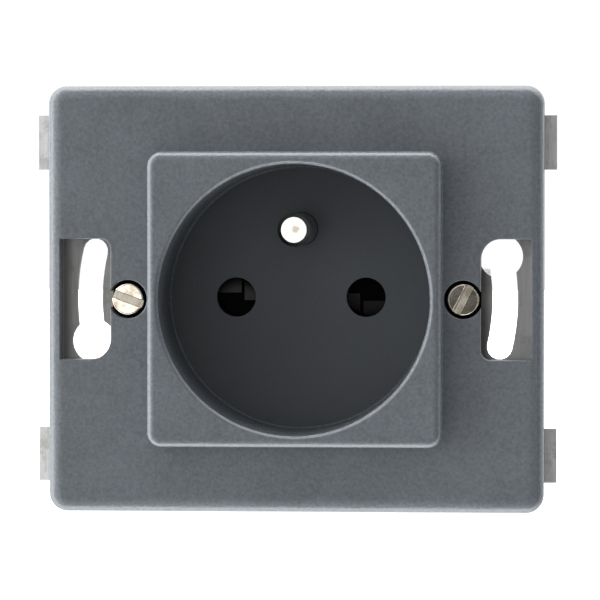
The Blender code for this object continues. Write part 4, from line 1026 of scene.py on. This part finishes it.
# %% Threaded shank
def thread(name, radius, pitch, depth, start, end, centre, steps=28, rows_per_turn=8):
    """Shank with a helical thread: radius - depth * |2 * (phase - whole part) - 1|, fading at its ends."""
    count = int(abs(end - start) / pitch * rows_per_turn) + 1
    y = np.linspace(start, end, count)[:, None]
    a = np.linspace(0.0, math.tau, steps, endpoint=False)[None, :]
    phase = (y / pitch - a / math.tau) % 1.0
    fade = np.clip(np.minimum(np.abs(y - start), np.abs(end - y)) / pitch, 0.0, 1.0)
    r = radius - depth * (1.0 - (1.0 - np.abs(2.0 * phase - 1.0)) * fade)
    x = centre[0] + r * np.cos(a)
    z = centre[1] + r * np.sin(a)
    points = np.stack([x, np.broadcast_to(y, x.shape), z], axis=-1)
    return surface(name, points, caps=True)


# %% Head and slot
SLOT_WIDTH = 1.15 * MM
SLOT_DEPTH = 1.05 * MM
SLOT_BREAK = 0.09 * MM
HEAD_ROUND = 0.18 * MM
SEAT_BREAK = 0.05 * MM
THREAD_DEPTH = 0.56
NECK_SHARE = 0.8
SLOT_REACH = 1.3
DOME_POINT = (0.5, 0.25)


def slotted_screw(name, angle, radius, pitch, seat, top, end, head_radius, dome):
    """Screw along Y: head from seat to top, shank from the seat to its end, slot at an angle."""
    centre = middle(name)
    towards = 1.0 if top > seat else -1.0
    crown = arc((head_radius - HEAD_ROUND, top - towards * (HEAD_ROUND + dome)), HEAD_ROUND,
                0.0, 90.0 * towards, 4)
    profile = np.concatenate([
        [(0.0, seat - towards * SEAT_BREAK), (radius * NECK_SHARE, seat - towards * SEAT_BREAK),
         (head_radius - SEAT_BREAK, seat), (head_radius, seat + towards * SEAT_BREAK)],
        crown,
        [(head_radius - HEAD_ROUND - FLAT_RING, crown[-1][1]),
         (DOME_POINT[0] * head_radius, top - towards * DOME_POINT[1] * dome), (0.0, top)],
    ])
    head = turned(name + "_head", profile, centre, 72)
    along = np.array([math.cos(math.radians(angle)), math.sin(math.radians(angle))])
    across = np.array([-along[1], along[0]])
    reach = head_radius * SLOT_REACH
    half_slot = SLOT_WIDTH / 2.0
    levels = []
    for half, below in ((half_slot, SLOT_DEPTH), (half_slot, SLOT_BREAK),
                        (half_slot + 2.0 * SLOT_BREAK, -SLOT_BREAK)):
        outline = np.array([centre + along * reach * i + across * half * j
                            for i, j in ((-1, -1), (1, -1), (1, 1), (-1, 1))])
        levels.append(at_level(outline, top - towards * below))
    carve(head, [surface(name + "_slot", np.array(levels), caps=True)])
    shank = thread(name + "_threaded", radius, pitch, THREAD_DEPTH * pitch, seat, end, centre)
    carve(shank, [head], "UNION")
    soften(shank, 0.04 * MM, 55.0)
    dress(shank, name)


# %% [markdown]
# Three kinds of screw, each with its radius, pitch, seat, top, end, head radius and dome in
# millimetres. Beside each name stands its slot's angle in degrees. Those of the claw screws are
# the photograph's.

# %% All nine screws
SCREW_KINDS = [
    ({"left_claw_screw": -20.0, "right_claw_screw": 63.0}, (1.5, 0.5, -1.5, -5.0, 24.0, 2.22, 0.0)),
    ({"phase_terminal_screw": 30.0, "neutral_terminal_screw": 30.0, "earth_terminal_screw": 30.0},
     (1.6, 0.6, 22.0, 24.4, 15.4, 3.0, 0.15)),
    ({"assembly_screw_1": 45.0, "assembly_screw_2": -45.0, "assembly_screw_3": -45.0,
      "assembly_screw_4": 45.0}, (1.2, 0.5, 15.0, 16.8, 4.5, 2.4, 0.2)),
]
for slot_angles, sizes in SCREW_KINDS:
    for name, angle in slot_angles.items():
        slotted_screw(name, angle, *(size * MM for size in sizes))
print("screws:", sum(len(slot_angles) for slot_angles, _ in SCREW_KINDS))

# %% [markdown]
# ## The shutter's spring
# A torsion spring is a wire carried along a helix, with a straight leg at each end. The wire's
# circle is put at every step along two directions that are square to the path. The rear leg
# rests in the housing and the front leg in the shutter, so on the real socket the spring winds
# up as that turns; here the wire is one fixed mesh that follows neither part.

# %% Torsion spring
WIRE = 0.2 * MM
COIL = 2.1 * MM
COIL_TURNS = 3.5
COIL_START = 12.02 * MM
COIL_PITCH = 0.6 * MM
FRONT_LEG = (10.7 * MM, 11.5 * MM)
REAR_LEG = MM * np.array([[-0.9, 0.05, 0.0], [-1.9, 0.05, 0.0]])
NEVER_ALONG = (0.13, 0.91, 0.39)

turns = np.linspace(0.0, COIL_TURNS, 140)
helix = np.stack([COIL * np.sin(turns * math.tau), COIL_START + COIL_PITCH * turns,
                  COIL * np.cos(turns * math.tau)], axis=-1)
lead = np.array([[0.0, depth, COIL] for depth in FRONT_LEG])
path = np.concatenate([lead, helix, helix[-1] + REAR_LEG])
tangent = np.gradient(path, axis=0)
tangent /= np.linalg.norm(tangent, axis=1, keepdims=True)
side_way = np.cross(tangent, NEVER_ALONG)
side_way /= np.linalg.norm(side_way, axis=1, keepdims=True)
up_way = np.cross(tangent, side_way)
a = np.linspace(0.0, math.tau, 12, endpoint=False)
tube = (path[:, None] + WIRE * (np.cos(a)[None, :, None] * side_way[:, None]
                                + np.sin(a)[None, :, None] * up_way[:, None]))
spring = surface("shutter_spring_wire", tube, caps=True)
spring.data.shade_smooth()
spring.data.materials.append(finish_of["shutter_spring"])
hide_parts("shutter_spring")
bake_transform(spring)
print("spring bends between", node_bodies["shutter_spring"], "and", node_bodies["shutter"])

# %% [markdown]
# ## Camera
# The camera was fitted to the photograph's corners, holes and slots: it stands 0.63 m in front
# of the socket, 48 mm to the right and 18 mm above, with a long lens.

# %% Camera
CAMERA_PLACE = (0.04794, -0.62677, 0.01791)
CAMERA_YAW = math.radians(4.341)
CAMERA_PITCH = math.radians(1.651)
SENSOR_WIDTH = 36.0
FOCAL_LENGTH = 261.3
NEAREST = 0.01


def aim(item, place, looking):
    """Puts a camera or a lamp in its place and turns it to look along a direction."""
    item.location = place
    item.rotation_mode = "QUATERNION"
    item.rotation_quaternion = Vector(looking).to_track_quat("-Z", "Y")
    print(item.name, "looks along", np.round(looking, 4).tolist())


lens = bpy.data.cameras.new("photo_camera")
lens.sensor_width = SENSOR_WIDTH
lens.lens = FOCAL_LENGTH
lens.clip_start = NEAREST
camera = placed("photo_camera", lens)
aim(camera, CAMERA_PLACE, (-math.sin(CAMERA_YAW) * math.cos(CAMERA_PITCH),
                           math.cos(CAMERA_YAW) * math.cos(CAMERA_PITCH), -math.sin(CAMERA_PITCH)))
bpy.context.scene.camera = camera

# %% [markdown]
# ## Studio
# The photograph is a packshot in a white tent. Light comes from the walls beside the object,
# from the left, above and below, and hardly any from the right or from round the camera. That
# is why flat faces are mid grey, their edges shine on three sides, the deep well is dark on
# its left and the band right of the raised square lies in its shadow. A fainter ring round the
# lens reaches the well's floor. The sky is a function of two angles: how far a direction turns
# away from the camera, and which side it turns to. Its levels were fitted to the picture. What
# the camera sees directly is plain white.

# %% Tent light
WALL_ANGLES = (12, 33, 50, 63, 76, 89, 108, 135)
TENT_WALLS = {
    "left": ("X", -1.0, (0.08, 0.72, 0.63, 2.8, 5.9, 6.0, 1.6, 2.05)),
    "right": ("X", 1.0, (0.08, 0.59, 0.0, 0.0, 0.0, 1.2, 1.0, 2.05)),
    "above": ("Z", 1.0, (0.08, 0.91, 0.0, 0.3, 3.6, 7.1, 4.8, 2.05)),
    "below": ("Z", -1.0, (0.08, 0.0, 0.52, 1.1, 4.1, 6.2, 2.6, 2.05)),
}
BRIGHTEST = 7.1
BEHIND = (138, 175, 0.2)
HALF_TURN = 180.0
BACKDROP_GLOW = 1.05
JUST_OVER_ONE = 1.0001
WHITE = (1.0, 1.0, 1.0, 1.0)

world = bpy.data.worlds.new("white_tent")
bpy.context.scene.world = world
world.use_nodes = True
sky = world.node_tree
sky.nodes.clear()
way = node(sky, "ShaderNodeTexCoord").outputs["Generated"]
parts = node(sky, "ShaderNodeSeparateXYZ", Vector=way)
turn_away = maths(sky, "DIVIDE", maths(sky, "ARCCOSINE", maths(sky, "MULTIPLY", parts.outputs["Y"], -1.0)),
                  math.pi)
sideways = maths(sky, "SUBTRACT", JUST_OVER_ONE,
                 maths(sky, "MULTIPLY", parts.outputs["Y"], parts.outputs["Y"]))


def tent_wall(axis, sign, levels):
    """Glow of one wall: level(angle from the front) * squared cosine round the view axis."""
    ramp = node(sky, "ShaderNodeValToRGB", Fac=turn_away)
    ramp.color_ramp.interpolation = "LINEAR"
    while len(ramp.color_ramp.elements) < len(levels):
        ramp.color_ramp.elements.new(1.0)
    for element, degrees, level in zip(ramp.color_ramp.elements, WALL_ANGLES, levels):
        share = level / BRIGHTEST
        element.position = degrees / HALF_TURN
        element.color = (share, share, share, 1.0)
    side_part = maths(sky, "MAXIMUM", maths(sky, "MULTIPLY", parts.outputs[axis], sign), 0.0)
    share = maths(sky, "DIVIDE", maths(sky, "MULTIPLY", side_part, side_part), sideways)
    return maths(sky, "MULTIPLY", maths(sky, "MULTIPLY", share, BRIGHTEST), ramp.outputs["Color"])


glow = 0.0
for wall in TENT_WALLS.values():
    glow = maths(sky, "ADD", glow, tent_wall(*wall))
fade_start, fade_end, fade_level = BEHIND
behind = smooth_step(sky, turn_away, fade_start / HALF_TURN, fade_end / HALF_TURN, 1.0, fade_level)
tent = node(sky, "ShaderNodeBackground", Color=WHITE, Strength=maths(sky, "MULTIPLY", glow, behind))
backdrop = node(sky, "ShaderNodeBackground", Color=WHITE, Strength=BACKDROP_GLOW)
sight = node(sky, "ShaderNodeLightPath")
seen = node(sky, "ShaderNodeMixShader", Fac=sight.outputs["Is Camera Ray"])
sky.links.new(tent.outputs[0], seen.inputs[1])
sky.links.new(backdrop.outputs[0], seen.inputs[2])
exit_node = node(sky, "ShaderNodeOutputWorld")
sky.links.new(seen.outputs[0], exit_node.inputs["Surface"])
print("tent:", len(TENT_WALLS), "walls")

# %% [markdown]
# A narrow bright card a little left of the camera is mirrored by the polished tip of the earth
# pin and by the left screw. The right screw looks past its edge and stays darker.

# %% Card left of the camera
CARD_DISTANCE = 1.0
CARD_YAW = math.radians(-7.1)
CARD_SIZE = (0.150, 0.30)
CARD_POWER = 0.20

card_light = bpy.data.lights.new("left_card", "AREA")
card_light.shape = "RECTANGLE"
card_light.size, card_light.size_y = CARD_SIZE
card_light.energy = CARD_POWER
card_place = Vector((CARD_DISTANCE * math.sin(CARD_YAW), -CARD_DISTANCE * math.cos(CARD_YAW), 0.0))
aim(placed("left_card", card_light), card_place, -card_place)

# %% [markdown]
# ## Floor
# A pale sheet just under the lowest edge. It glows like the white backdrop and neither lights
# nor mirrors in the object.

# %% Floor
FLOOR_HALF = 1.2
FLOOR_GAP = 0.00005
PALE = ((0.90, 0.90, 0.90), (0.94, 0.94, 0.94))

floor_level = cad_box[0][2] - FLOOR_GAP
floor = surface("pale_floor", np.array([
    [(-FLOOR_HALF, -FLOOR_HALF, floor_level), (FLOOR_HALF, -FLOOR_HALF, floor_level)],
    [(-FLOOR_HALF, FLOOR_HALF, floor_level), (FLOOR_HALF, FLOOR_HALF, floor_level)],
]), close_columns=False)
pale, pale_tree, pale_shader = new_material("pale_floor", Roughness=0.9, Emission_Strength=1.0)
pale_place = node(pale_tree, "ShaderNodeTexCoord").outputs["Object"]
pale_tone = mixed(pale_tree, noise(pale_tree, pale_place, 40.0, 2.0), *PALE)
wire(pale_tree, pale_shader.inputs, Base_Color=pale_tone, Emission_Color=pale_tone)
floor.data.materials.append(pale)
floor.visible_diffuse = False
floor.visible_glossy = False
floor.visible_shadow = False

# %% [markdown]
# ## Colours as they are
# The standard view transform keeps the photograph's greys.

# %% View
bpy.context.scene.view_settings.view_transform = "Standard"
